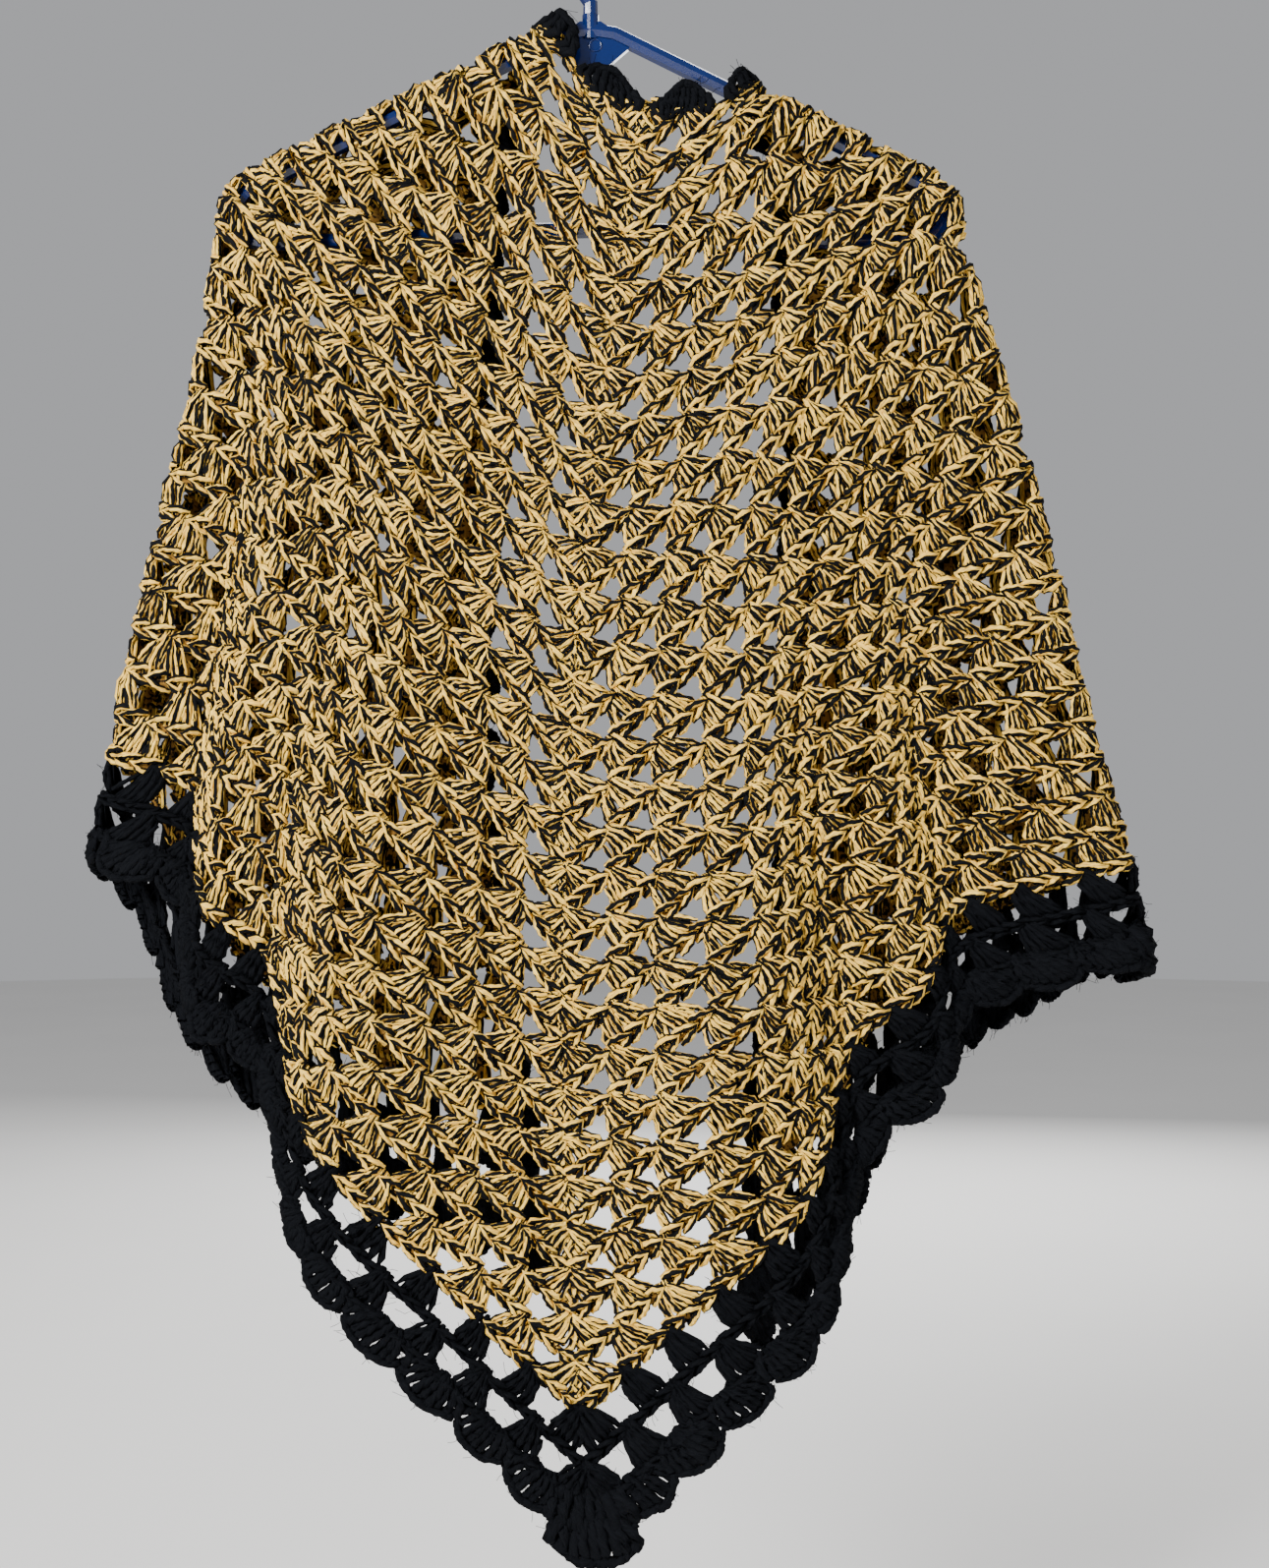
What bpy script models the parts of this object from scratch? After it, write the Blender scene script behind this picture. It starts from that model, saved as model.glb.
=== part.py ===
# A crocheted triangle shawl hung over a tubular clothes hanger, seen from the shawl's back.
# Metres, +Z up. The shawl's back faces -Y, and its two wings hang on the +Y side. The origin is the point
# under the top of the hanger's hook, where a rail carries it.
# The whole cloth is one function, drape(column, row): row counts the crochet rows from the middle of the
# neckline to the hem, and column counts the stitch groups out from the spine, negative on the left.
import math

import bmesh
import bpy
import numpy as np

MM = 0.001

# Crochet gauge
ROW = 17.6 * MM  # height of one row, square to it
GROUP = 2 * ROW  # pitch of the stitch groups along a row
BODY_ROWS = 29
OPEN_ROW = 1.25  # a border row's height, in body rows
FIRST_OPEN_END = BODY_ROWS + OPEN_ROW
OPEN_END = BODY_ROWS + 2 * OPEN_ROW
HEM_FOLD = 15  # the group of the hem where the cloth turns from the back to a wing
SHELL_DEPTH = 19 * MM
SHELL_NOTCH = 9 * MM  # width of the edging where two shells meet
EDGING_DEPTH = 17 * MM
EDGING_NOTCH = 8 * MM
SCALLOP_ROUND = 0.6  # the power of a sine that rounds a scallop's end
EDGING_PITCH = 1.611  # rows along the front edge that one scallop of its edging spans
FLAT_COLUMNS = 1.2  # the widest step between the wall's points along a row, in groups
LONG_STEP = 0.5  # rows: a longer step along the top edge has a point in its middle

WALL = 4.0 * MM  # thickness of the crochet
SHELL_WALL = 7.0 * MM  # the plump shells
SEAM = 0.3 * MM
GAP_SHARE = 0.56  # a cut gap's size as a share of the opening between two groups

# Hanger
TUBE = 4.75 * MM  # radius
HOOK_TUBE = 4.2 * MM
NECK_X, NECK_Z = 14 * MM, -119 * MM
END_X = 203 * MM
END_CORNER = 16.3 * MM
ARM_SLOPE = -0.492
BAR_MIDDLE_Z = -231 * MM
HOOK_FOOT_Z = -108 * MM
HOOK_RADIUS = 24 * MM  # of the bend's centre line
HOOK_END = -22  # degrees: where the bend ends, below +X
HOOK_TIP_X, HOOK_TIP_Z = 17 * MM, -38 * MM
# The hook's shaft, from its foot up to the bend, in millimetres
HOOK_SHAFT = dict(x=(0, -6, -14, -20, -23.3), z=(-101, -92, -78, -60, -40))
# The web that stiffens the neck, round its outline, in millimetres
WEB_DEPTH = 4.8 * MM
WEB = dict(x=(-25, -11, 11, 25, 6, -6), z=(-125, -137, -137, -125, -112, -112))
COLLAR_HEIGHT = 14 * MM
CLOTH_LIFT = 7.5 * MM  # from the tube's centre line to the middle of the cloth over it
NECK_ROW = 2.417  # the neckline's half width in rows, where the cloth's edge crosses an arm

# The spine, down the back: row, then the place in millimetres
SPINE = dict(
    row=(0, 4, 8, 12, 16, 20, 24, 28, 33),
    x=(31, 15, 2, -8, -14, -15, -13, -8, 6),
    y=(-10, -14, -19, -23, -26, -29, -32, -34, -35),
    z=(-164, -266, -367, -468, -570, -671, -772, -874, -1000),
)
# The side folds: where each row passes over an arm or round the side. column is the group it happens at.
# Between the rows ARM_ROWS it lies on the arm, and its height there is the arm's.
SIDE = {
    -1: dict(
        row=(0, 0.8, 1.6, 1.97, NECK_ROW, 9, 14, 15.2, 16.5, 19, 22, 26, 29, 33),
        column=(0.33, 1.3, 2.2, 2.42, 2.43, 6.4, 8.9, 9.4, 10, 11, 12.2, 13.8, 15, 15.4),
        x=(20, 3, -17, -22, -26, -126, -197, -208.5, -213, -222, -240, -262, -278, -294),
        y=(0, 0, 0, 0, 0, 0, 0, 0, 1, 4, 9, 15, 19, 21),
        z=(-156, -145, -123, -115, -117, -166, -201, -213, -241, -298, -370, -458, -532, -608),
    ),
    1: dict(
        row=(0, 0.8, 1.6, 1.97, NECK_ROW, 7, 10, 11.2, 12.4, 15, 20, 25, 29, 33),
        column=(0.33, 1.3, 2.2, 2.42, 2.43, 5.6, 7.4, 8.1, 8.7, 9.8, 11.7, 13.5, 15, 15.4),
        x=(45, 62, 85, 90, 92, 158, 197, 208.5, 213, 232, 263, 288, 312, 326),
        y=(0, 0, 0, 0, 0, 0, 0, 0, 1, 4, 9, 15, 19, 21),
        z=(-158, -153, -147, -148, -149, -182, -201, -213, -241, -303, -410, -514, -594, -662),
    ),
}
ARM_ROWS = {-1: (1.97, 14), 1: (1.97, 10)}
# The front edges, down the wall side, from where they hang clear of the arms
FRONT = {
    -1: dict(
        row=(3.3, 4, 5, 9, 15, 22, 29, 33),
        x=(-34, -42, -54, -64, -67, -64, -42, -24),
        y=(8, 10, 12, 19, 30, 38, 42, 42),
        z=(-129, -144, -165, -243, -367, -545, -742, -852),
    ),
    1: dict(
        row=(3.5, 5, 9, 15, 22, 29, 33),
        x=(103, 110, 118, 121, 118, 97, 95),
        y=(8, 12, 19, 30, 38, 42, 42),
        z=(-164, -186, -240, -374, -566, -772, -892),
    ),
}
# How a low row runs from the spine to the side fold, as shares of its length, reach, rise and depth. Each
# stretch where the reach stands still is a soft fold seen edge on.
BACK_FOLDS = {
    -1: dict(
        along=(0, 0.20, 0.39, 0.60, 0.73, 0.88, 1),
        reach=(0, 0.29, 0.556, 0.656, 0.791, 0.81, 1),
        rise=(0, 0.21, 0.425, 0.69, 0.774, 0.943, 1),
        depth=(0, -0.12, -0.05, 0.62, 0.66, 0.98, 1),
    ),
    1: dict(
        along=(0, 0.17, 0.34, 0.555, 0.66, 0.775, 1),
        reach=(0, 0.20, 0.40, 0.487, 0.62, 0.668, 1),
        rise=(0, 0.19, 0.389, 0.67, 0.774, 0.906, 1),
        depth=(0, -0.12, -0.05, 0.60, 0.64, 0.96, 1),
    ),
}
# The same from the side fold to the front edge, with the drop in place of the rise
WING_FOLDS = {
    -1: dict(
        along=(0, 0.10, 0.22, 0.40, 0.55, 0.78, 1),
        reach=(0, 0.09, 0.19, 0.36, 0.52, 0.77, 1),
        drop=(0, 0.14, 0.38, 0.62, 0.77, 0.92, 1),
    ),
    1: dict(
        along=(0, 0.20, 0.40, 0.55, 0.70, 0.85, 1),
        reach=(0, 0.25, 0.45, 0.62, 0.74, 0.87, 1),
        drop=(0, 0.10, 0.24, 0.42, 0.70, 0.92, 1),
    ),
}
WING_WAVES = {-1: 3.0, 1: 3.5}  # soft waves across each wing
WAVE_DEPTH = 12 * MM  # each way, at the hem
FOLDS_START, FOLDS_FULL = 11, 26  # rows between which the folds grow
PLEAT = dict(column=2.7, width=0.75, depth=6 * MM, start=16, end=22)  # right of the spine, low down
TURN_AT_ARM, TURN_AT_HEM = 8.3 * MM, 12 * MM  # radius of the side fold
SETTLE = 50 * MM  # the length of cloth beside the fold that eases from it into the hanging form
RIGHT_RISE_POWER = 1.12  # the right half's rows rise a little later than the left's

MARL, BLACK, BLUE = (0.62, 0.44, 0.17), (0.012, 0.013, 0.017), (0.005, 0.035, 0.22)


def through(rows, values):
    """A smooth function through a table's rows that never overshoots them."""
    rows, values = np.array(rows, float), np.array(values, float)
    span = np.diff(rows)
    slope = np.diff(values) / span
    rate = np.empty(len(rows))
    rate[0], rate[-1] = slope[0], slope[-1]
    for i in range(1, len(span)):
        level = slope[i - 1] * slope[i] <= 0
        rate[i] = 0 if level else 2 / (1 / slope[i - 1] + 1 / slope[i])

    def value(at):
        at = np.clip(at, rows[0], rows[-1])
        i = np.clip(np.searchsorted(rows, at, side="right") - 1, 0, len(span) - 1)
        t = (at - rows[i]) / span[i]
        start = (1 + 2 * t) * (1 - t) ** 2 * values[i] + t * (1 - t) ** 2 * span[i] * rate[i]
        end = t * t * (3 - 2 * t) * values[i + 1] + t * t * (t - 1) * span[i] * rate[i + 1]
        return start + end

    return value


def curves(table, key="row", scale=1.0):
    return {name: through(table[key], np.array(table[name]) * scale) for name in table if name != key}


SPINE_AT = curves(SPINE, scale=MM)
SIDE_AT = {side: curves(table, scale=MM) for side, table in SIDE.items()}
FRONT_AT = {side: curves(table, scale=MM) for side, table in FRONT.items()}
BACK_AT = {side: curves(table, key="along") for side, table in BACK_FOLDS.items()}
WING_AT = {side: curves(table, key="along") for side, table in WING_FOLDS.items()}


def ease(value, low, high):
    t = np.clip((value - low) / (high - low), 0, 1)
    return t * t * (3 - 2 * t)


def side_column(side, row):
    return SIDE_AT[side]["column"](row) / MM


def turn_radius(row):
    """The side fold's radius."""
    return TURN_AT_ARM + (TURN_AT_HEM - TURN_AT_ARM) * ease(row, 14, 27)


def arm_top(x):
    """Height of the cloth's middle where it lies over an arm."""
    lift = CLOTH_LIFT * math.sqrt(1 + ARM_SLOPE**2)
    return NECK_Z + ARM_SLOPE * (np.abs(x) - NECK_X) + lift


def past_turn(distance, radius):
    """How far the cloth gets across while it goes round a fold and on, and how far it has turned back."""
    quarter = radius * math.pi / 2
    across = np.where(
        distance < quarter, radius * (1 - np.cos(distance / radius)), distance - quarter + radius
    )
    return across, radius * np.sin(np.minimum(distance / radius, math.pi / 2))


def turn_point(side, row):
    """Where a row passes over the arm, or round the side fold."""
    x, y, z = [SIDE_AT[side][axis](row) for axis in "xyz"]
    on_arm = (row >= ARM_ROWS[side][0]) & (row <= ARM_ROWS[side][1])
    return [x, y, np.where(on_arm, arm_top(x), z)]


def wing_span(side, row):
    """A row's reach past the side fold, and its end on the front edge, which first winds round the arm."""
    clear = np.array(float(FRONT[side]["row"][0]))
    reaches = []
    for at in (row, clear):
        length = np.maximum(GROUP * (at - side_column(side, at)), 0.1 * MM)
        reaches.append(past_turn(length, turn_radius(at))[0])
    share = reaches[0] / reaches[1]
    front = []
    for axis, here, there in zip("xyz", turn_point(side, row), turn_point(side, clear)):
        hanging = FRONT_AT[side][axis]
        front.append(np.where(row < clear, here + (hanging(clear) - there) * share, hanging(row)))
    return reaches[0], front


def half_drape(side, column, row):
    """Points of one half of the cloth; column counts outwards and is at least zero."""
    fold = side_column(side, row)
    spine = [SPINE_AT[axis](row) for axis in "xyz"]
    turn = turn_point(side, row)
    radius = turn_radius(row)
    growth = ease(row, FOLDS_START, FOLDS_FULL)

    whole = past_turn(GROUP * fold, radius)[0]
    across, turned = past_turn(np.maximum(GROUP * (fold - column), 0), radius)
    along = np.clip(1 - across / whole, 0, 1)
    power = RIGHT_RISE_POWER if side > 0 else 1.0
    folds = BACK_AT[side]
    reach = along + growth * (folds["reach"](along) - along)
    plain_rise = along**power
    rise = plain_rise + growth * (folds["rise"](along) - plain_rise)
    depth = along + growth * (folds["depth"](along) - along)
    near_side = turn[1] - radius
    back = [
        spine[0] + (turn[0] - spine[0]) * reach,
        turn[1] - turned + (spine[1] - near_side) * (1 - depth) * ease(across, 0, np.minimum(SETTLE, whole)),
        spine[2] + (turn[2] - spine[2]) * rise,
    ]
    if side > 0:
        bump = np.exp(-(((column - PLEAT["column"]) / PLEAT["width"]) ** 2))
        back[1] = back[1] - PLEAT["depth"] * bump * ease(row, PLEAT["start"], PLEAT["end"])

    whole, front = wing_span(side, row)
    across, turned = past_turn(np.maximum(GROUP * (column - fold), 0), radius)
    along = np.clip(across / whole, 0, 1)
    folds = WING_AT[side]
    reach = along + growth * (folds["reach"](along) - along)
    drop = along + growth * (folds["drop"](along) - along)
    settled = ease(across, 0, SETTLE)
    wave = np.sin(2 * math.pi * WING_WAVES[side] * along) * np.sin(math.pi * along) ** 0.5
    wave_depth = WAVE_DEPTH * ease(row, 8, 27)
    wing = [
        turn[0] + (front[0] - turn[0]) * reach,
        turn[1] + turned + (front[1] - turn[1] - radius) * along * settled + wave_depth * wave,
        turn[2] + (front[2] - turn[2]) * drop,
    ]
    on_back = column <= fold
    return np.stack([np.where(on_back, b, w) for b, w in zip(back, wing)], axis=-1)


def drape(column, row):
    """Points of the cloth's middle surface, for arrays of signed columns and of rows."""
    column, row = np.broadcast_arrays(np.asarray(column, float), np.asarray(row, float))
    left = half_drape(-1, np.abs(column), row)
    right = half_drape(1, np.abs(column), row)
    return np.where(column[..., None] < 0, left, right)


def facing(column, row):
    """The cloth's normals: towards the camera side on the back, and towards the wall on the wings."""
    nudge = 0.1
    row = np.maximum(row, 5 * nudge)
    inside = row - 2.1 * nudge  # the cloth ends where the column is the row
    column = np.clip(column, -inside, inside)
    across = drape(column + nudge, row) - drape(column - nudge, row)
    down = drape(column, row + nudge) - drape(column, row - nudge)
    normal = np.cross(down, across)
    return normal / np.linalg.norm(normal, axis=-1, keepdims=True)


def collection_for(name):
    made = bpy.data.collections.new(name)
    bpy.context.scene.collection.children.link(made)
    return made


def material(name, color, roughness):
    made = bpy.data.materials.new(name)
    made.use_nodes = True
    shader = made.node_tree.nodes["Principled BSDF"]
    shader.inputs["Base Color"].default_value = (*color, 1)
    shader.inputs["Roughness"].default_value = roughness
    return made


def place(name, mesh, look):
    mesh.materials.append(look)
    mesh.shade_smooth()
    mesh.set_sharp_from_angle(angle=math.radians(40))
    made = bpy.data.objects.new(name, mesh)
    PARTS.objects.link(made)
    return made


def wall(name, points, normals, faces, thickness, look):
    """A closed wall: the sheet's faces moved half a thickness each way, joined round every free edge."""
    half = np.array(normals) * (np.array(thickness) / 2).reshape(-1, 1)
    count = len(points)
    mesh = bpy.data.meshes.new(name)
    edges = {}
    for face in faces:
        for a, b in zip(face, face[1:] + face[:1]):
            edges[(a, b)] = edges.get((a, b), 0) + 1
    free = [edge for edge in edges if (edge[1], edge[0]) not in edges]
    both = list(faces)
    both += [[i + count for i in reversed(face)] for face in faces]
    # Both sides of a seam split their end faces the same way, so that the seam stays even
    order = points @ np.array((1.0, 0.3, 0.618))
    for a, b in free:
        if order[a] < order[b]:
            both += [[b, a, b + count], [a, a + count, b + count]]
        else:
            both += [[b, a, a + count], [b, a + count, b + count]]
    corners = np.concatenate([points + half, points - half])
    mesh.from_pydata([tuple(p) for p in corners], [], both)
    shape = bmesh.new()
    shape.from_mesh(mesh)
    bmesh.ops.triangulate(shape, faces=shape.faces[:])
    bmesh.ops.recalc_face_normals(shape, faces=shape.faces[:])
    shape.to_mesh(mesh)
    shape.free()
    return place(name, mesh, look)


class Sheet:
    """Points of the cloth by column and row, each made once, and the faces between them."""

    def __init__(self):
        self.spots, self.faces = {}, []

    def spot(self, column, row):
        return self.spots.setdefault((round(float(column), 5), round(float(row), 5)), len(self.spots))

    def face(self, *corners):
        self.faces.append([self.spot(*corner) for corner in corners])

    def split(self, start, end):
        """Adds the middle of a free edge to the face beside it."""
        a, b = self.spot(*start), self.spot(*end)
        middle = self.spot((start[0] + end[0]) / 2, (start[1] + end[1]) / 2)
        for face in self.faces:
            if a in face and b in face:
                i, j = face.index(a), face.index(b)
                face.insert(max(i, j) if abs(i - j) == 1 else len(face), middle)

    def zip_rows(self, side, upper, lower):
        """Triangles between two rows of stations, which are pairs of a key that grows and a column."""
        (upper_row, above), (lower_row, below) = upper, lower
        i = j = 0
        while i < len(above) - 1 or j < len(below) - 1:
            on_upper = j == len(below) - 1 or (i < len(above) - 1 and above[i + 1][0] <= below[j + 1][0])
            first, second = (side * above[i][1], upper_row), (side * below[j][1], lower_row)
            if on_upper:
                third = (side * above[i + 1][1], upper_row)
                i += 1
            else:
                third = (side * below[j + 1][1], lower_row)
                j += 1
            self.face(*((first, second, third) if side > 0 else (first, third, second)))

    def build(self, name, thickness, look):
        spots = np.array(list(self.spots))
        points, normals = drape(spots[:, 0], spots[:, 1]), facing(spots[:, 0], spots[:, 1])
        return wall(name, points, normals, self.faces, np.full(len(points), thickness), look)


def body_levels():
    """The rows at which the body's wall has points: closer near the neck and round the hanger's ends."""
    neck = [0, 0.8, 1.6, 2.1, 2.2, 2.31, NECK_ROW, 2.52, 2.65, 2.8, 3.0]
    spaced = [EDGING_PITCH * i for i in range(2, 18)]
    ends = [10.0, 10.6, 11.2, 11.8, 12.4, 13.6, 14.0, 14.6, 15.2, 15.8, 16.5]
    kept = [row for row in spaced if min(abs(row - end) for end in ends) > 0.45]
    return sorted(neck + kept + ends) + [BODY_ROWS]


def edge_rows(rows):
    """The rows at which the cloth's top edge has points: the levels, and the middles of the long steps."""
    return sorted(rows + [(a + b) / 2 for a, b in zip(rows, rows[1:]) if b - a > LONG_STEP])


def back_stations(side, row):
    """Columns from the spine to the side fold, each with a key that lines the rows' points up."""
    fold = side_column(side, row)
    end = min(row, fold - SEAM / 2 / GROUP)
    turn = math.pi / 2 * float(turn_radius(row)) / GROUP
    if row == BODY_ROWS:
        flat, turned = [i / 2 for i in range(2 * HEM_FOLD + 1)], [end]
        flat.pop()
    else:
        turned = [fold - turn * share for share in (0.67, 0.33) if fold - turn * share < end - 0.02] + [end]
        flat_end = max(0.0, min(end, fold - turn))
        flat = list(np.linspace(0, flat_end, 1 + math.ceil(flat_end / FLAT_COLUMNS)))
        if end - flat_end < 0.02:
            turned = []
    reach = flat[-1] or 1
    keys = [column / reach for column in flat] + [1 + (column - fold + turn) / turn for column in turned]
    return row, list(zip(keys, flat + turned))


def wing_stations(side, row):
    """Columns from the side fold to the front edge."""
    fold = side_column(side, row)
    start = fold + SEAM / 2 / GROUP
    turn = math.pi / 2 * float(turn_radius(row)) / GROUP
    if row == BODY_ROWS:
        turned, flat = [start], [i / 2 for i in range(2 * HEM_FOLD + 1, 2 * BODY_ROWS + 1)]
    else:
        turned = [start] + [fold + turn * share for share in (0.33, 0.67) if fold + turn * share < row - 0.02]
        flat_start = fold + turn
        flat = [row]
        if flat_start < row - 0.05:
            flat = list(np.linspace(flat_start, row, 1 + max(1, round((row - flat_start) / FLAT_COLUMNS))))
    reach = flat[-1] - flat[0] or 1
    turned_keys = [(column - fold) / turn for column in turned]
    flat_keys = [1 + (column - flat[0]) / reach for column in flat]
    return row, list(zip(turned_keys + flat_keys, turned + flat))


def back_panel():
    sheet = Sheet()
    rows = body_levels()
    for side in (-1, 1):
        for above, below in zip(rows, rows[1:]):
            sheet.zip_rows(side, back_stations(side, above), back_stations(side, below))
            if below <= NECK_ROW and below - above > LONG_STEP:
                sheet.split((side * above, above), (side * below, below))
    return sheet.build("back_panel", WALL, MARLED)


def wing(side, name):
    sheet = Sheet()
    rows = [row for row in body_levels() if row > NECK_ROW]
    for above, below in zip(rows, rows[1:]):
        sheet.zip_rows(side, wing_stations(side, above), wing_stations(side, below))
        if below - above > LONG_STEP:
            sheet.split((side * above, above), (side * below, below))
    return sheet.build(name, WALL, MARLED)


def junction(index, groups, row):
    """The column of a junction between two groups, in a row end that holds this many groups."""
    return index * row / groups


def border(side, name, first, last):
    """Two open rows: each group is a triangle on its point, and the opening next to it is cut through."""
    sheet = Sheet()
    top = BODY_ROWS + SEAM / ROW
    rows = ((BODY_ROWS, top, FIRST_OPEN_END), (BODY_ROWS + 1, FIRST_OPEN_END, OPEN_END))

    def corner(index, groups, row):
        column = junction(index, groups, BODY_ROWS if row == top else row)
        if index == HEM_FOLD:
            column += (SEAM / 2 / GROUP) * (1 if first == HEM_FOLD else -1)
        return (side * column, row)

    for groups, upper, lower in rows:
        for i in range(first, last if last == HEM_FOLD else groups + 1):
            apex, left = corner(i, groups, upper), corner(i, groups + 1, lower)
            right = corner(i + 1, groups + 1, lower)
            middle = corner(i + 0.5, groups + 1, lower)
            sheet.face(apex, left, middle)
            sheet.face(apex, middle, right)
            if lower == OPEN_END:
                sheet.split(left, middle)
                sheet.split(middle, right)
            if i == groups:
                sheet.split(apex, right)
            if i == groups or i + 1 > last:
                continue
            following, between = corner(i + 1, groups, upper), corner(i + 0.5, groups, upper)
            outer = [np.array(spot) for spot in (apex, following, right)]
            centre = sum(outer) / 3
            hole = [tuple(centre + (spot - centre) * GAP_SHARE) for spot in outer]
            sheet.face(apex, hole[0], between)
            sheet.face(between, hole[0], hole[1])
            sheet.face(between, hole[1], following)
            sheet.face(following, hole[1], hole[2], right)
            sheet.face(right, hole[2], hole[0], apex)
    return sheet.build(name, WALL, BLACK_YARN)


def scalloped(name, base, normals, outward, widths, look, raised=0.0):
    """A plump strip beyond an edge, with a width for each of the edge's points. Raised by a half, its back
    lies level with the cloth's."""
    across = ((0.0, WALL), (0.45, SHELL_WALL), (1.0, 0.55 * SHELL_WALL))
    points, directions, thick, faces = [], [], [], []
    for share, thickness in across:
        lift = raised * (thickness - WALL)
        points += list(base + outward * (SEAM + widths * share)[:, None] + normals * lift)
        directions += list(normals)
        thick += [thickness] * len(base)
    count = len(base)
    for level in range(len(across) - 1):
        for i in range(count - 1):
            a = level * count + i
            faces.append([a, a + count, a + count + 1, a + 1])
    return wall(name, np.array(points), np.array(directions), faces, thick, look)


def scallop_widths(phase, notch, depth):
    """Width of a scalloped edge where phase counts the scallops."""
    return notch + (depth - notch) * np.abs(np.sin(math.pi * phase)) ** SCALLOP_ROUND


def beside(base, normals, inner):
    """Directions in the cloth, square to its edge, that point away from it."""
    outward = base - inner
    outward -= normals * (outward * normals).sum(axis=1, keepdims=True)
    return outward / np.linalg.norm(outward, axis=1, keepdims=True)


def hem_shells(name, spots, indices):
    """One row of shells beyond the open rows' lower edge, each on the space between two groups."""
    spots = np.array(spots)
    base, normals = drape(spots[:, 0], spots[:, 1]), facing(spots[:, 0], spots[:, 1])
    inner = drape(spots[:, 0] * (OPEN_END - 1) / OPEN_END, spots[:, 1] - 1)
    widths = scallop_widths(np.array(indices) + 0.5, SHELL_NOTCH, SHELL_DEPTH)
    return scalloped(name, base, normals, beside(base, normals, inner), widths, BLACK_YARN)


def hem_spots(side, first, last):
    """The open rows' lower edge, in quarter groups, and each spot's count of shells."""
    indices = [i / 4 for i in range(4 * first, 4 * last + 1)]
    columns = [junction(i, BODY_ROWS + 2, OPEN_END) for i in indices]
    if last == HEM_FOLD:
        columns[-1] -= SEAM / 2 / GROUP
    if first == HEM_FOLD:
        columns[0] += SEAM / 2 / GROUP
    return [(side * column, OPEN_END) for column in columns], indices


def edging(name, signed_rows):
    """Shells beyond the cloth's top edge, where row and column are the same."""
    signed_rows = np.array(signed_rows)
    rows = np.abs(signed_rows)
    base, normals = drape(signed_rows, rows), facing(signed_rows, rows)
    inner = drape(signed_rows, rows + 0.6)
    widths = scallop_widths(signed_rows / EDGING_PITCH, EDGING_NOTCH, EDGING_DEPTH)
    return scalloped(name, base, normals, beside(base, normals, inner), widths, BLACK_YARN, 0.5)


def neck_edging():
    rows = edge_rows([row for row in body_levels() if row <= NECK_ROW])
    return edging("neck_edging", [-row for row in rows[:0:-1]] + rows)


def front_edging(side, name):
    rows = edge_rows([row for row in body_levels() if row > NECK_ROW] + [FIRST_OPEN_END, OPEN_END])
    return edging(name, [side * row for row in rows])


def tube(name, points, radius, closed):
    curve = bpy.data.curves.new(name, "CURVE")
    curve.dimensions = "3D"
    curve.bevel_depth = radius
    curve.bevel_resolution = 2
    curve.use_fill_caps = True
    line = curve.splines.new("POLY")
    line.points.add(len(points) - 1)
    for spot, point in zip(line.points, points):
        spot.co = (*point, 1)
    line.use_cyclic_u = closed
    return as_mesh(name, curve)


def as_mesh(name, curve):
    guide = bpy.data.objects.new(name + "_guide", curve)
    bpy.context.scene.collection.objects.link(guide)
    bpy.context.view_layer.update()
    graph = bpy.context.evaluated_depsgraph_get()
    mesh = bpy.data.meshes.new_from_object(guide.evaluated_get(graph))
    bpy.data.objects.remove(guide)
    shape = bmesh.new()
    shape.from_mesh(mesh)
    bmesh.ops.remove_doubles(shape, verts=shape.verts[:], dist=1e-6)
    shape.to_mesh(mesh)
    shape.free()
    mesh.materials.clear()
    return mesh


def arc(centre, radius, start, end, steps):
    """Points on an arc in the XZ plane, with the angles in degrees from +X towards +Z."""
    angles = [math.radians(start + (end - start) * i / steps) for i in range(steps + 1)]
    return [(centre[0] + radius * math.cos(a), 0, centre[1] + radius * math.sin(a)) for a in angles]


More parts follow.
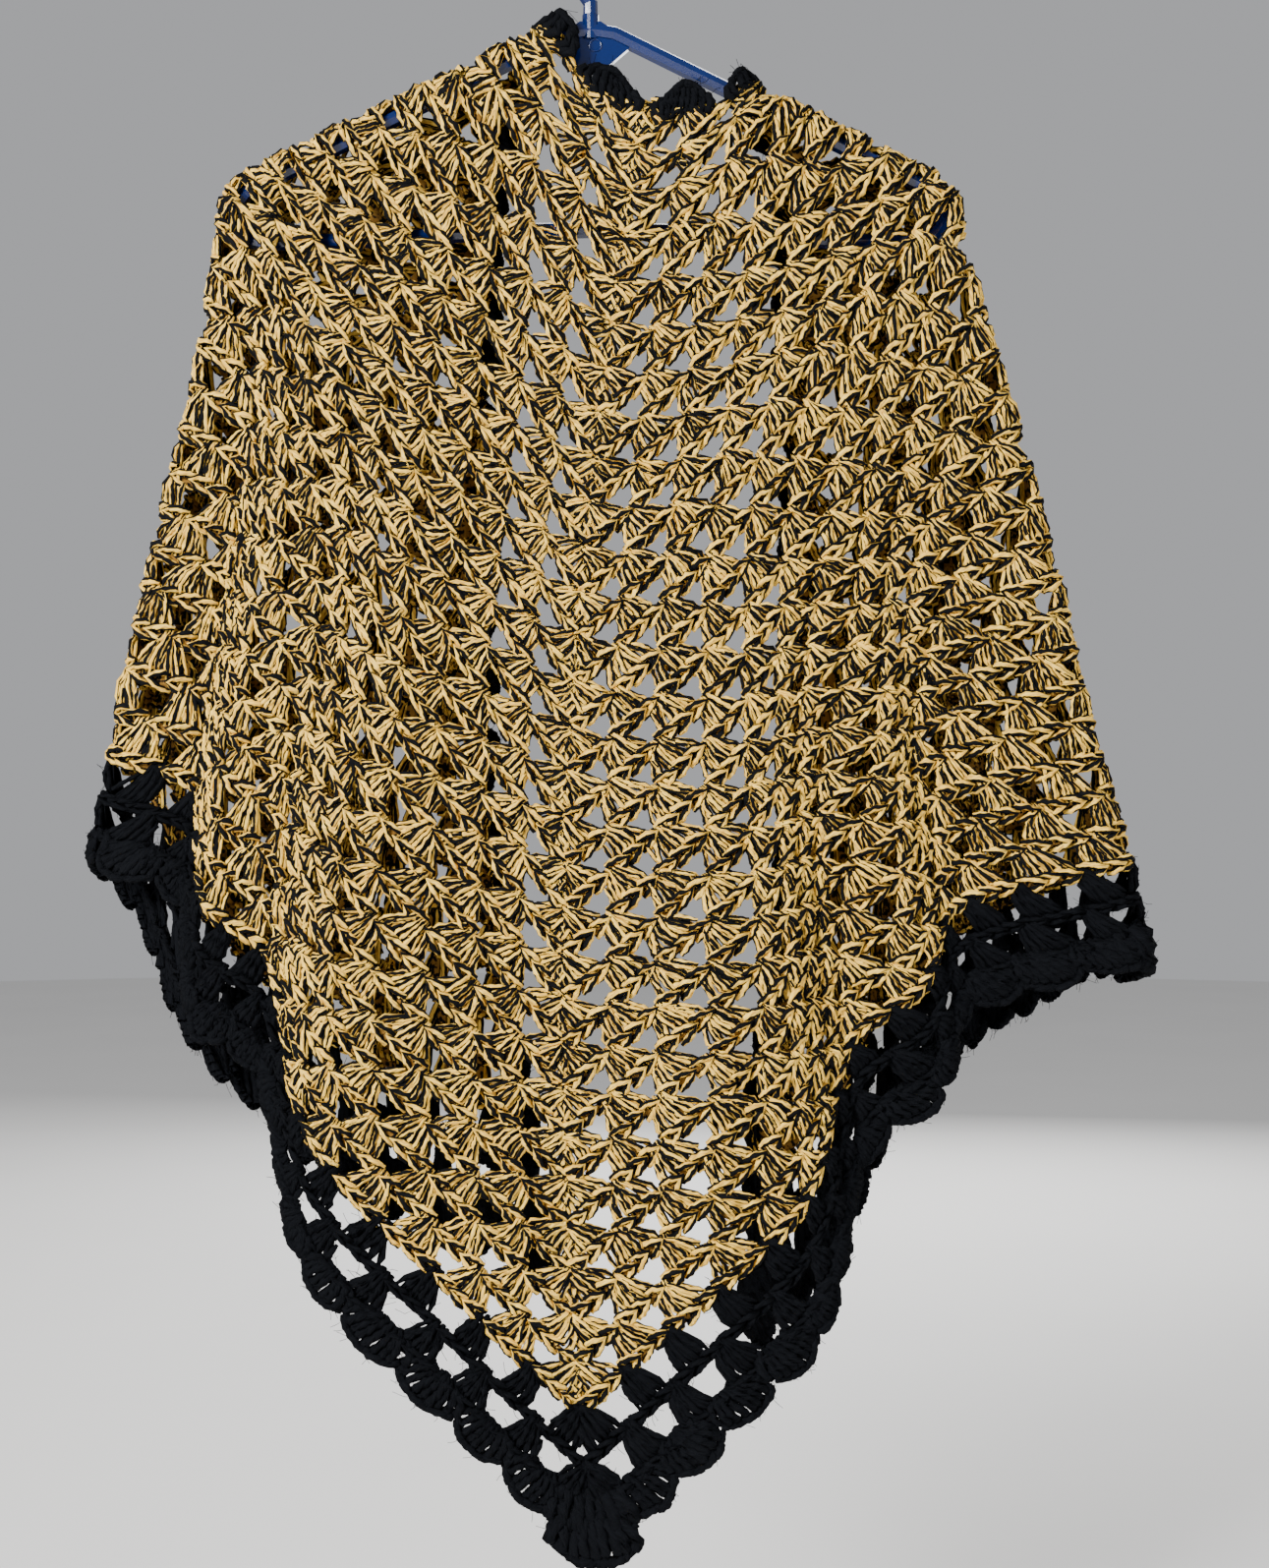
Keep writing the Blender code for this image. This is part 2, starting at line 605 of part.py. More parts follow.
def hanger_frame():
    slope = math.atan(ARM_SLOPE)
    end_x = END_X - END_CORNER
    end_z = NECK_Z + ARM_SLOPE * (end_x - NECK_X) - END_CORNER / math.cos(slope)
    right_end = arc((end_x, end_z), END_CORNER, 90 + math.degrees(slope), -88, 8)
    bar_end_z = end_z - END_CORNER
    bar_rise = BAR_MIDDLE_Z - bar_end_z
    bar = [(end_x * (1 - t), 0, bar_end_z + bar_rise * ease(t, 0, 1)) for t in (0.25, 0.5, 0.75)]
    right = [(NECK_X * 0.3, 0, NECK_Z + 1.5 * MM), (NECK_X, 0, NECK_Z)]
    right += right_end + bar + [(0, 0, BAR_MIDDLE_Z)]
    left = [(-x, y, z) for x, y, z in right[-2::-1]]
    made = place("hanger_frame", tube("hanger_frame", right + left, TUBE, True), PLASTIC)
    # The web that stiffens the neck: a small flat plate between the arms, under a short collar
    web = bpy.data.curves.new("neck_web", "CURVE")
    web.dimensions = "2D"
    web.fill_mode = "BOTH"
    web.extrude = WEB_DEPTH / 2
    outline = web.splines.new("POLY")
    outline.points.add(len(WEB["x"]) - 1)
    for spot, x, z in zip(outline.points, WEB["x"], WEB["z"]):
        spot.co = (x * MM, z * MM, 0, 1)
    outline.use_cyclic_u = True
    plate = bpy.data.objects.new("neck_web", as_mesh("neck_web", web))
    plate.rotation_euler = (math.radians(90), 0, 0)
    collar_mesh = bpy.data.meshes.new("neck_collar")
    shape = bmesh.new()
    bmesh.ops.create_cone(
        shape, cap_ends=True, segments=16, radius1=TUBE, radius2=TUBE, depth=COLLAR_HEIGHT
    )
    shape.to_mesh(collar_mesh)
    shape.free()
    collar = bpy.data.objects.new("neck_collar", collar_mesh)
    collar.location = (0, 0, HOOK_FOOT_Z - COLLAR_HEIGHT / 2)
    for helper in (plate, collar):
        HELPERS.objects.link(helper)
        helper.hide_render = True
        helper.display_type = "WIRE"
        join = made.modifiers.new(helper.name, "BOOLEAN")
        join.operation = "UNION"
        join.object = helper
    return made


def hanger_hook():
    centre = (0, HOOK_TUBE - HOOK_RADIUS)
    shaft = [(0, 0, HOOK_FOOT_Z + SEAM)]
    shaft += [(x * MM, 0, z * MM) for x, z in zip(HOOK_SHAFT["x"], HOOK_SHAFT["z"])]
    bend = arc(centre, HOOK_RADIUS, 180, HOOK_END, 20)
    tip = [(HOOK_TIP_X, 0, HOOK_TIP_Z)]
    return place("hanger_hook", tube("hanger_hook", shaft + bend + tip, HOOK_TUBE, False), PLASTIC)


for old in list(bpy.data.objects):
    bpy.data.objects.remove(old, do_unlink=True)
PARTS = collection_for("crocheted_shawl_on_hanger")
HELPERS = collection_for("helpers")
MARLED = material("marled_yarn", MARL, 0.9)
BLACK_YARN = material("black_yarn", BLACK, 0.95)
PLASTIC = material("blue_plastic", BLUE, 0.18)

back_panel()
wing(-1, "wing_left")
wing(1, "wing_right")
border(-1, "border_back_left", 0, HEM_FOLD)
border(1, "border_back_right", 0, HEM_FOLD)
border(-1, "border_wing_left", HEM_FOLD, BODY_ROWS + 1)
border(1, "border_wing_right", HEM_FOLD, BODY_ROWS + 1)
left_spots, left_indices = hem_spots(-1, 0, HEM_FOLD)
right_spots, right_indices = hem_spots(1, 0, HEM_FOLD)
hem_shells(
    "shells_back",
    left_spots[::-1] + right_spots[1:],
    [-i for i in left_indices[::-1]] + right_indices[1:],
)
hem_shells("shells_wing_left", *hem_spots(-1, HEM_FOLD, BODY_ROWS + 2))
hem_shells("shells_wing_right", *hem_spots(1, HEM_FOLD, BODY_ROWS + 2))
neck_edging()
front_edging(-1, "front_edging_left")
front_edging(1, "front_edging_right")
hanger_frame()
hanger_hook()
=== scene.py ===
# %% [markdown]
# # A crocheted triangle shawl on a clothes hanger
# The shawl is granny crochet: groups of three long stitches, each group worked into the space between two
# groups of the row before. It starts at the middle of the neckline and grows down to a point, so every row
# runs like a wide V round the spine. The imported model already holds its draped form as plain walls. This
# notebook replaces those walls with the yarn itself, in the same place.
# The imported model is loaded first, and its size is kept for the comparison at the end.

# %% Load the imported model
import math

import bmesh
import bpy
import numpy as np
from mathutils import Matrix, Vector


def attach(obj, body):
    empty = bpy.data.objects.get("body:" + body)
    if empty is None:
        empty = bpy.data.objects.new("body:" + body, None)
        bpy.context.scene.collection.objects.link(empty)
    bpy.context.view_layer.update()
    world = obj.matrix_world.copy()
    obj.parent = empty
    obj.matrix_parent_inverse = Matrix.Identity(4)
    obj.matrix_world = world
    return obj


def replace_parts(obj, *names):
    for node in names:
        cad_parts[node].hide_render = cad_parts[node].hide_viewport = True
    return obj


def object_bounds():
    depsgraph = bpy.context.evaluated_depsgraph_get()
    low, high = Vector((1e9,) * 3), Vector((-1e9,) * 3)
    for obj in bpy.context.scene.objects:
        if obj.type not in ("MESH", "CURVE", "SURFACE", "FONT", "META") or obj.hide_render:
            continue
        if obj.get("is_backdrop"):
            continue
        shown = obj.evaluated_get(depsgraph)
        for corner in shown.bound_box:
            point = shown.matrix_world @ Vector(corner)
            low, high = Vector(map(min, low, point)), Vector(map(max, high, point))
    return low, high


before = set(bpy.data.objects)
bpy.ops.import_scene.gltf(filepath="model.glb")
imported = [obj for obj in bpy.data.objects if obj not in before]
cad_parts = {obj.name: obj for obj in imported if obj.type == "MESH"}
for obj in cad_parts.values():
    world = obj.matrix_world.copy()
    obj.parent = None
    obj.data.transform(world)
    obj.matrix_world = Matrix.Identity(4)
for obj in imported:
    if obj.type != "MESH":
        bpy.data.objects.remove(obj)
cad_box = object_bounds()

print(len(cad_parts), "packed nodes, box", [tuple(round(x, 3) for x in corner) for corner in cad_box])

# %% [markdown]
# ## The gauge
# A crocheter measures gauge: how wide a group of stitches is, and how tall a row. Everything else follows
# from those two numbers and from where the cloth lies.

# %% The gauge
MM = 0.001
SIDES = ((-1, "left"), (1, "right"))  # signs of the stitch columns on each side of the spine

ROW = 17.6 * MM  # height of one row, square to it
GROUP = 2 * ROW  # pitch of the stitch groups along a row
STEP = ROW * math.sqrt(2)  # one row along the spine, or one group along the front edge
BODY_ROWS = 29
OPEN_ROW = 1.25  # a border row's height, in body rows
FIRST_OPEN_END = BODY_ROWS + OPEN_ROW
OPEN_END = BODY_ROWS + 2 * OPEN_ROW
EDGING_PITCH = 1.611  # rows along the front edge that one scallop of its edging spans

print("a group is", round(GROUP / MM, 1), "mm wide, and a row is", ROW / MM, "mm high")

# %% [markdown]
# ## Where the cloth lies
# The drape is given by a few short tables: where the spine hangs, where each row passes over an arm of the
# hanger or round a side fold, and where the front edges hang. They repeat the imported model's own tables, so
# that the yarn lies on the same form.

# %% The tables
# The hanger's arms
NECK_X, NECK_Z = 14 * MM, -119 * MM  # where an arm's straight part starts
ARM_SLOPE = -0.492  # height lost for each length outwards
CLOTH_LIFT = 7.5 * MM  # from the tube's centre line to the middle of the cloth over it
NECK_ROW = 2.417  # the neckline's half width in rows, where the cloth's edge crosses an arm

# The spine, down the back: row, then the place in millimetres
SPINE = dict(
    row=(0, 4, 8, 12, 16, 20, 24, 28, 33),
    x=(31, 15, 2, -8, -14, -15, -13, -8, 6),
    y=(-10, -14, -19, -23, -26, -29, -32, -34, -35),
    z=(-164, -266, -367, -468, -570, -671, -772, -874, -1000),
)
# The side folds: where each row passes over an arm or round the side. column is the group it happens at.
# Between the rows ARM_ROWS it lies on the arm, and its height there is the arm's.
SIDE_Y = (0, 0, 0, 0, 0, 0, 0, 0, 1, 4, 9, 15, 19, 21)
SIDE = {
    -1: dict(
        row=(0, 0.8, 1.6, 1.97, NECK_ROW, 9, 14, 15.2, 16.5, 19, 22, 26, 29, 33),
        column=(0.33, 1.3, 2.2, 2.42, 2.43, 6.4, 8.9, 9.4, 10, 11, 12.2, 13.8, 15, 15.4),
        x=(20, 3, -17, -22, -26, -126, -197, -208.5, -213, -222, -240, -262, -278, -294),
        y=SIDE_Y,
        z=(-156, -145, -123, -115, -117, -166, -201, -213, -241, -298, -370, -458, -532, -608),
    ),
    1: dict(
        row=(0, 0.8, 1.6, 1.97, NECK_ROW, 7, 10, 11.2, 12.4, 15, 20, 25, 29, 33),
        column=(0.33, 1.3, 2.2, 2.42, 2.43, 5.6, 7.4, 8.1, 8.7, 9.8, 11.7, 13.5, 15, 15.4),
        x=(45, 62, 85, 90, 92, 158, 197, 208.5, 213, 232, 263, 288, 312, 326),
        y=SIDE_Y,
        z=(-158, -153, -147, -148, -149, -182, -201, -213, -241, -303, -410, -514, -594, -662),
    ),
}
ARM_ROWS = {-1: (1.97, 14), 1: (1.97, 10)}
# The front edges, down the wall side, from where they hang clear of the arms
FRONT = {
    -1: dict(
        row=(3.3, 4, 5, 9, 15, 22, 29, 33),
        x=(-34, -42, -54, -64, -67, -64, -42, -24),
        y=(8, 10, 12, 19, 30, 38, 42, 42),
        z=(-129, -144, -165, -243, -367, -545, -742, -852),
    ),
    1: dict(
        row=(3.5, 5, 9, 15, 22, 29, 33),
        x=(103, 110, 118, 121, 118, 97, 95),
        y=(8, 12, 19, 30, 38, 42, 42),
        z=(-164, -186, -240, -374, -566, -772, -892),
    ),
}
# How a low row runs from the spine to the side fold, as shares of its length, reach, rise and depth. Each
# stretch where the reach stands still is a soft fold seen edge on.
BACK_FOLDS = {
    -1: dict(
        along=(0, 0.20, 0.39, 0.60, 0.73, 0.88, 1),
        reach=(0, 0.29, 0.556, 0.656, 0.791, 0.81, 1),
        rise=(0, 0.21, 0.425, 0.69, 0.774, 0.943, 1),
        depth=(0, -0.12, -0.05, 0.62, 0.66, 0.98, 1),
    ),
    1: dict(
        along=(0, 0.17, 0.34, 0.555, 0.66, 0.775, 1),
        reach=(0, 0.20, 0.40, 0.487, 0.62, 0.668, 1),
        rise=(0, 0.19, 0.389, 0.67, 0.774, 0.906, 1),
        depth=(0, -0.12, -0.05, 0.60, 0.64, 0.96, 1),
    ),
}
# The same from the side fold to the front edge, with the drop in place of the rise
WING_FOLDS = {
    -1: dict(
        along=(0, 0.10, 0.22, 0.40, 0.55, 0.78, 1),
        reach=(0, 0.09, 0.19, 0.36, 0.52, 0.77, 1),
        drop=(0, 0.14, 0.38, 0.62, 0.77, 0.92, 1),
    ),
    1: dict(
        along=(0, 0.20, 0.40, 0.55, 0.70, 0.85, 1),
        reach=(0, 0.25, 0.45, 0.62, 0.74, 0.87, 1),
        drop=(0, 0.10, 0.24, 0.42, 0.70, 0.92, 1),
    ),
}
WING_WAVES = {-1: 3.0, 1: 3.5}  # soft waves across each wing
WAVE_DEPTH = 12 * MM  # each way, at the hem
FOLDS_START, FOLDS_FULL = 11, 26  # rows between which the folds grow
PLEAT = dict(column=2.7, width=0.75, depth=6 * MM, start=16, end=22)  # right of the spine, low down
WAVE_ROWS = (8, 27)  # rows between which the waves grow
TURN_AT_ARM, TURN_AT_HEM = 8.3 * MM, 12 * MM  # radius of the side fold
TURN_ROWS = (14, 27)  # rows between which that radius grows
SETTLE = 50 * MM  # the length of cloth beside the fold that eases from it into the hanging form
RIGHT_RISE_POWER = 1.12  # the right half's rows rise a little later than the left's
LEAST_LENGTH = 0.1 * MM  # keeps a row's reach past the side fold above nought
print("the tables run from row 0 to row", SPINE["row"][-1])

# %% [markdown]
# ## The drape
# One function turns a stitch column and a row into a place. It finds where the row crosses the spine, the
# side fold and the front edge, and lays the cloth between them, first across the back and then along the
# wing. Another gives the cloth's normal, from four places close by.

# %% The drape


def through(rows, values):
    """A smooth function through a table's rows that never overshoots them."""
    rows, values = np.array(rows, float), np.array(values, float)
    span = np.diff(rows)
    slope = np.diff(values) / span
    rate = np.empty(len(rows))
    rate[0], rate[-1] = slope[0], slope[-1]
    for i in range(1, len(span)):
        level = slope[i - 1] * slope[i] <= 0
        rate[i] = 0 if level else 2 / (1 / slope[i - 1] + 1 / slope[i])

    def value(at):
        at = np.clip(at, rows[0], rows[-1])
        i = np.clip(np.searchsorted(rows, at, side="right") - 1, 0, len(span) - 1)
        t = (at - rows[i]) / span[i]
        start = (1 + 2 * t) * (1 - t) ** 2 * values[i] + t * (1 - t) ** 2 * span[i] * rate[i]
        end = t * t * (3 - 2 * t) * values[i + 1] + t * t * (t - 1) * span[i] * rate[i + 1]
        return start + end

    return value


def curves(table, key="row", scale=1.0):
    return {name: through(table[key], np.array(table[name]) * scale) for name in table if name != key}


SPINE_AT = curves(SPINE, scale=MM)
SIDE_AT = {side: curves(table, scale=MM) for side, table in SIDE.items()}
FRONT_AT = {side: curves(table, scale=MM) for side, table in FRONT.items()}
BACK_AT = {side: curves(table, key="along") for side, table in BACK_FOLDS.items()}
WING_AT = {side: curves(table, key="along") for side, table in WING_FOLDS.items()}


def ease(value, low, high):
    t = np.clip((value - low) / (high - low), 0, 1)
    return t * t * (3 - 2 * t)


def side_column(side, row):
    return SIDE_AT[side]["column"](row) / MM


def turn_radius(row):
    """The side fold's radius."""
    return TURN_AT_ARM + (TURN_AT_HEM - TURN_AT_ARM) * ease(row, *TURN_ROWS)


def arm_top(x):
    """Height of the cloth's middle where it lies over an arm."""
    lift = CLOTH_LIFT * math.sqrt(1 + ARM_SLOPE**2)
    return NECK_Z + ARM_SLOPE * (np.abs(x) - NECK_X) + lift


def past_turn(distance, radius):
    """How far the cloth gets across while it goes round a fold and on, and how far it has turned back."""
    quarter = radius * math.pi / 2
    across = np.where(
        distance < quarter, radius * (1 - np.cos(distance / radius)), distance - quarter + radius
    )
    return across, radius * np.sin(np.minimum(distance / radius, math.pi / 2))


def turn_point(side, row):
    """Where a row passes over the arm, or round the side fold."""
    x, y, z = [SIDE_AT[side][axis](row) for axis in "xyz"]
    on_arm = (row >= ARM_ROWS[side][0]) & (row <= ARM_ROWS[side][1])
    return [x, y, np.where(on_arm, arm_top(x), z)]


def wing_span(side, row):
    """A row's reach past the side fold, and its end on the front edge, which first winds round the arm."""
    clear = np.array(float(FRONT[side]["row"][0]))
    reaches = []
    for at in (row, clear):
        length = np.maximum(GROUP * (at - side_column(side, at)), LEAST_LENGTH)
        reaches.append(past_turn(length, turn_radius(at))[0])
    share = reaches[0] / reaches[1]
    front = []
    for axis, here, there in zip("xyz", turn_point(side, row), turn_point(side, clear)):
        hanging = FRONT_AT[side][axis]
        front.append(np.where(row < clear, here + (hanging(clear) - there) * share, hanging(row)))
    return reaches[0], front


def half_drape(side, column, row):
    """Points of one half of the cloth; column counts outwards and is at least zero."""
    fold = side_column(side, row)
    spine = [SPINE_AT[axis](row) for axis in "xyz"]
    turn = turn_point(side, row)
    radius = turn_radius(row)
    growth = ease(row, FOLDS_START, FOLDS_FULL)

    def grown(tables, name, along, power=1.0):
        """A share from one of the fold tables, as far as the folds have grown at this row."""
        plain = along**power
        return plain + growth * (tables[side][name](along) - plain)

    whole = past_turn(GROUP * fold, radius)[0]
    across, turned = past_turn(np.maximum(GROUP * (fold - column), 0), radius)
    along = np.clip(1 - across / whole, 0, 1)
    reach, depth = grown(BACK_AT, "reach", along), grown(BACK_AT, "depth", along)
    rise = grown(BACK_AT, "rise", along, RIGHT_RISE_POWER if side > 0 else 1.0)
    near_side = turn[1] - radius
    settled = ease(across, 0, np.minimum(SETTLE, whole))
    back = [
        spine[0] + (turn[0] - spine[0]) * reach,
        turn[1] - turned + (spine[1] - near_side) * (1 - depth) * settled,
        spine[2] + (turn[2] - spine[2]) * rise,
    ]
    if side > 0:
        bump = np.exp(-(((column - PLEAT["column"]) / PLEAT["width"]) ** 2))
        back[1] -= PLEAT["depth"] * bump * ease(row, PLEAT["start"], PLEAT["end"])

    whole, front = wing_span(side, row)
    across, turned = past_turn(np.maximum(GROUP * (column - fold), 0), radius)
    along = np.clip(across / whole, 0, 1)
    reach, drop = grown(WING_AT, "reach", along), grown(WING_AT, "drop", along)
    settled = ease(across, 0, SETTLE)
    wave = np.sin(2 * math.pi * WING_WAVES[side] * along) * np.sin(math.pi * along) ** 0.5
    wave_depth = WAVE_DEPTH * ease(row, *WAVE_ROWS)
    wing = [
        turn[0] + (front[0] - turn[0]) * reach,
        turn[1] + turned + (front[1] - turn[1] - radius) * along * settled + wave_depth * wave,
        turn[2] + (front[2] - turn[2]) * drop,
    ]
    on_back = column <= fold
    return np.stack([np.where(on_back, b, w) for b, w in zip(back, wing)], axis=-1)


def drape(column, row):
    """Points of the cloth's middle surface, for arrays of signed columns and of rows."""
    column, row = np.broadcast_arrays(np.asarray(column, float), np.asarray(row, float))
    left = half_drape(-1, np.abs(column), row)
    right = half_drape(1, np.abs(column), row)
    return np.where(column[..., None] < 0, left, right)


NUDGE = 0.1  # rows and groups: how far a normal looks each way


def unit(vectors, least=0.0):
    return vectors / (np.linalg.norm(vectors, axis=-1, keepdims=True) + least)


def facing(column, row):
    """The cloth's normals: towards the camera side on the back, and towards the wall on the wings."""
    row = np.maximum(row, 5 * NUDGE)
    inside = row - 2.1 * NUDGE  # the cloth ends where the column is the row
    column = np.clip(column, -inside, inside)
    across = drape(column + NUDGE, row) - drape(column - NUDGE, row)
    down = drape(column, row + NUDGE) - drape(column, row - NUDGE)
    return unit(np.cross(down, across))


for side, word in SIDES:
    corner = drape(side * BODY_ROWS, BODY_ROWS)
    print("the body's", word, "corner hangs at", [round(float(x), 3) for x in corner])

# %% [markdown]
# ## From flat crochet to hanging cloth
# A stitch is easiest to describe flat, as the crocheter sees it on a table: so far across from the spine, so
# far down from the top edge, and so far out of the cloth. One function then carries any such point to its
# place on the hanging shawl. The edgings lie past the top edge, so points above it go on straight, square to
# the edge.

# %% The flat frame
EDGE_LOOK = 0.6  # rows: how far into the cloth an edge's direction is read
LAST_ROW = 32.8  # the tables end at row 33, and a normal looks a little further


def hang(flat):
    """Places and normals on the hanging shawl for flat points, given as across, down and out."""
    across, down, out = flat[..., 0], flat[..., 1], flat[..., 2]
    column = across / STEP
    row = np.minimum(np.abs(column) + np.maximum(down, 0) / STEP, LAST_ROW)
    places, normals = drape(column, row), facing(column, row)
    past = down < 0
    if past.any():
        column, row = column[past], np.abs(column[past])
        edge, normal = drape(column, row), facing(column, row)
        outward = edge - drape(column, row + EDGE_LOOK)
        outward -= normal * (outward * normal).sum(axis=-1, keepdims=True)
        places[past] = edge - unit(outward) * down[past][:, None]
        normals[past] = normal
    return places + normals * out[..., None], normals


def flat_spot(side, column, row):
    """The flat place of a column and a row on one side of the spine."""
    return np.array((side * column * STEP, (row - column) * STEP))


print("flat, the last row's corner lies", round(OPEN_END * STEP, 3), "m down")

# %% [markdown]
# ## Yarn as a mesh
# The yarn is marled: two thick golden plies and one thin black ply, twisted together. At this size a strand
# is best made as a tube whose section has two lobes and turns as it goes along, so that light catches real
# plies. The thin black ply is painted by the material: its two dark lines wind round the strand. There are
# thousands of short strands, all alike, so their points are worked out together as arrays and joined into one
# mesh for each part of the shawl.

# %% Build many strands at once
LOBES = np.array((1.0, 0.80, 0.80, 1.0, 0.80, 0.80))  # the section's radius round a marled or border strand
PLUMP = np.array((1.0, 0.86, 0.86, 1.0, 0.86, 0.86))  # the same for the shells' ribs and rims
TWIST_LENGTH = 34 * MM  # one turn of the plies
END_TAPER = 0.70  # a strand's ends are thinner, where they dive into the cloth
RIB_TAPER = 0.88  # the shells' ribs stay plump up to their rim, and so do loose fibres
YARN_UV = 100  # UV units a metre along a strand: one for each centimetre
TINY = 1e-12  # keeps a direction's length above nought


def put(name, data):
    """A new object, in the scene."""
    made = bpy.data.objects.new(name, data)
    bpy.context.scene.collection.objects.link(made)
    return made


def strand_mesh(name, groups, look):
    """One mesh of many strands. Each group is (paths, radii, section): paths is an array of strands, points
    and flat coordinates, and radii has one radius for each strand."""
    corners, quads, uvs, tints = [], [], [], []
    start = 0
    draw = np.random.default_rng(len(name) * 101)
    for paths, radii, section in groups:
        places, normals = hang(paths)
        (strands, points), sides = paths.shape[:2], len(section)
        turns = np.arange(sides) / sides
        along = unit(np.gradient(places, axis=1), TINY)
        across = unit(np.cross(along, normals), TINY)
        up = np.cross(across, along)
        step = np.linalg.norm(np.diff(places, axis=1), axis=-1)
        length = np.concatenate([np.zeros((strands, 1)), np.cumsum(step, axis=1)], axis=1)
        phase = draw.random((strands, 1)) + length / TWIST_LENGTH
        angle = 2 * math.pi * (phase[..., None] + turns)
        taper = np.ones(points)
        taper[[0, -1]] = END_TAPER if section is LOBES else RIB_TAPER
        size = radii[:, None, None] * taper[None, :, None] * section[None, None, :]
        ring = across[:, :, None] * (np.cos(angle) * size)[..., None]
        ring = ring + up[:, :, None] * (np.sin(angle) * size)[..., None]
        corners.append((places[:, :, None] + ring).reshape(-1, 3))
        index = start + np.arange(strands * points * sides).reshape(strands, points, sides)
        after = np.roll(index, -1, axis=2)
        quad = np.stack([index[:, :-1], after[:, :-1], after[:, 1:], index[:, 1:]], axis=-1)
        quads.append(quad.reshape(-1, 4))
        u = (length * YARN_UV)[..., None] + np.zeros(sides)
        v = turns + np.zeros((strands, points, 1))
        near = np.stack([u, v], -1)
        far = np.stack([u, v + 1 / sides], -1)
        uv = np.stack([near[:, :-1], far[:, :-1], far[:, 1:], near[:, 1:]], axis=-2)
        uvs.append(uv.reshape(-1, 2))
        tints.append(np.repeat(draw.random(strands), points * sides))
        start += strands * points * sides
    corners, quads = np.concatenate(corners), np.concatenate(quads)
    assert np.isfinite(corners).all(), name
    mesh = bpy.data.meshes.new(name)
    mesh.vertices.add(len(corners))
    mesh.vertices.foreach_set("co", corners.ravel())
    mesh.loops.add(quads.size)
    mesh.loops.foreach_set("vertex_index", quads.ravel())
    mesh.polygons.add(len(quads))
    mesh.polygons.foreach_set("loop_start", np.arange(len(quads)) * 4)
    mesh.update(calc_edges=True)
    layer = mesh.uv_layers.new(name="UVMap")
    layer.data.foreach_set("uv", np.concatenate(uvs).ravel())
    tint = mesh.attributes.new("tint", "FLOAT", "POINT")
    tint.data.foreach_set("value", np.concatenate(tints))
    mesh.shade_smooth()
    mesh.materials.append(look)
    made = put(name, mesh)
    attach(made, "root")
    print(name, "has", 2 * len(quads), "triangles")
    return made


# %% [markdown]
# ## Colours that follow the yarn
# A marled yarn's colour runs along each strand, not across the cloth, so its material reads the strands' UVs:
# U counts centimetres along the strand, and V goes once round it. A small group of nodes turns those into a
# mask for the thin ply and a height for the fibres. Both yarns use it, so it is a node group. Each strand
# also carries a random number in the attribute tint, which keeps neighbours from looking the same.

# %% The yarn's node group
def feed(tree, node, inputs):
    """Gives a node's inputs, by name or number, their links, numbers and colours."""
    for key, value in inputs.items():
        if isinstance(value, tuple):
            node.inputs[key].default_value = (*value, 1)
        elif isinstance(value, (int, float)):
            node.inputs[key].default_value = value
        else:
            tree.links.new(value, node.inputs[key])


def add(tree, kind, inputs=None, **settings):
    node = tree.nodes.new(kind)
    for key, value in settings.items():
        setattr(node, key, value)
    feed(tree, node, inputs or {})
    return node


def math_node(tree, operation, *values):
    return add(tree, "ShaderNodeMath", dict(enumerate(values)), operation=operation).outputs[0]


def noise(tree, places, scale, detail=2.0):
    """The value of a noise texture at these places."""
    inputs = {"Vector": places, "Scale": scale, "Detail": detail}
    return add(tree, "ShaderNodeTexNoise", inputs).outputs["Fac"]


def remap(tree, value, given, wanted=(0.0, 1.0), kind="LINEAR"):
    """A value carried from one range to another, and held at its ends."""
    inputs = dict(zip(("Value", "From Min", "From Max", "To Min", "To Max"), (value, *given, *wanted)))
    return add(tree, "ShaderNodeMapRange", inputs, interpolation_type=kind).outputs["Result"]


EXTRA_TWIST = 0.22  # turns in each centimetre, past the turning of the section itself
STRAND_SHIFT = 37.0  # carries each strand to its own part of the noise
SWING = 0.22  # turns that the thin ply strays from its place, over about a centimetre
PLY_EDGES = (0.40, 0.33)  # half turns from a groove where the thin ply has faded out, and is full
FIBRE_STRETCH, FIBRE_TURNS = 2.2, 16.0  # how fast the fine fibres change along a strand and round it


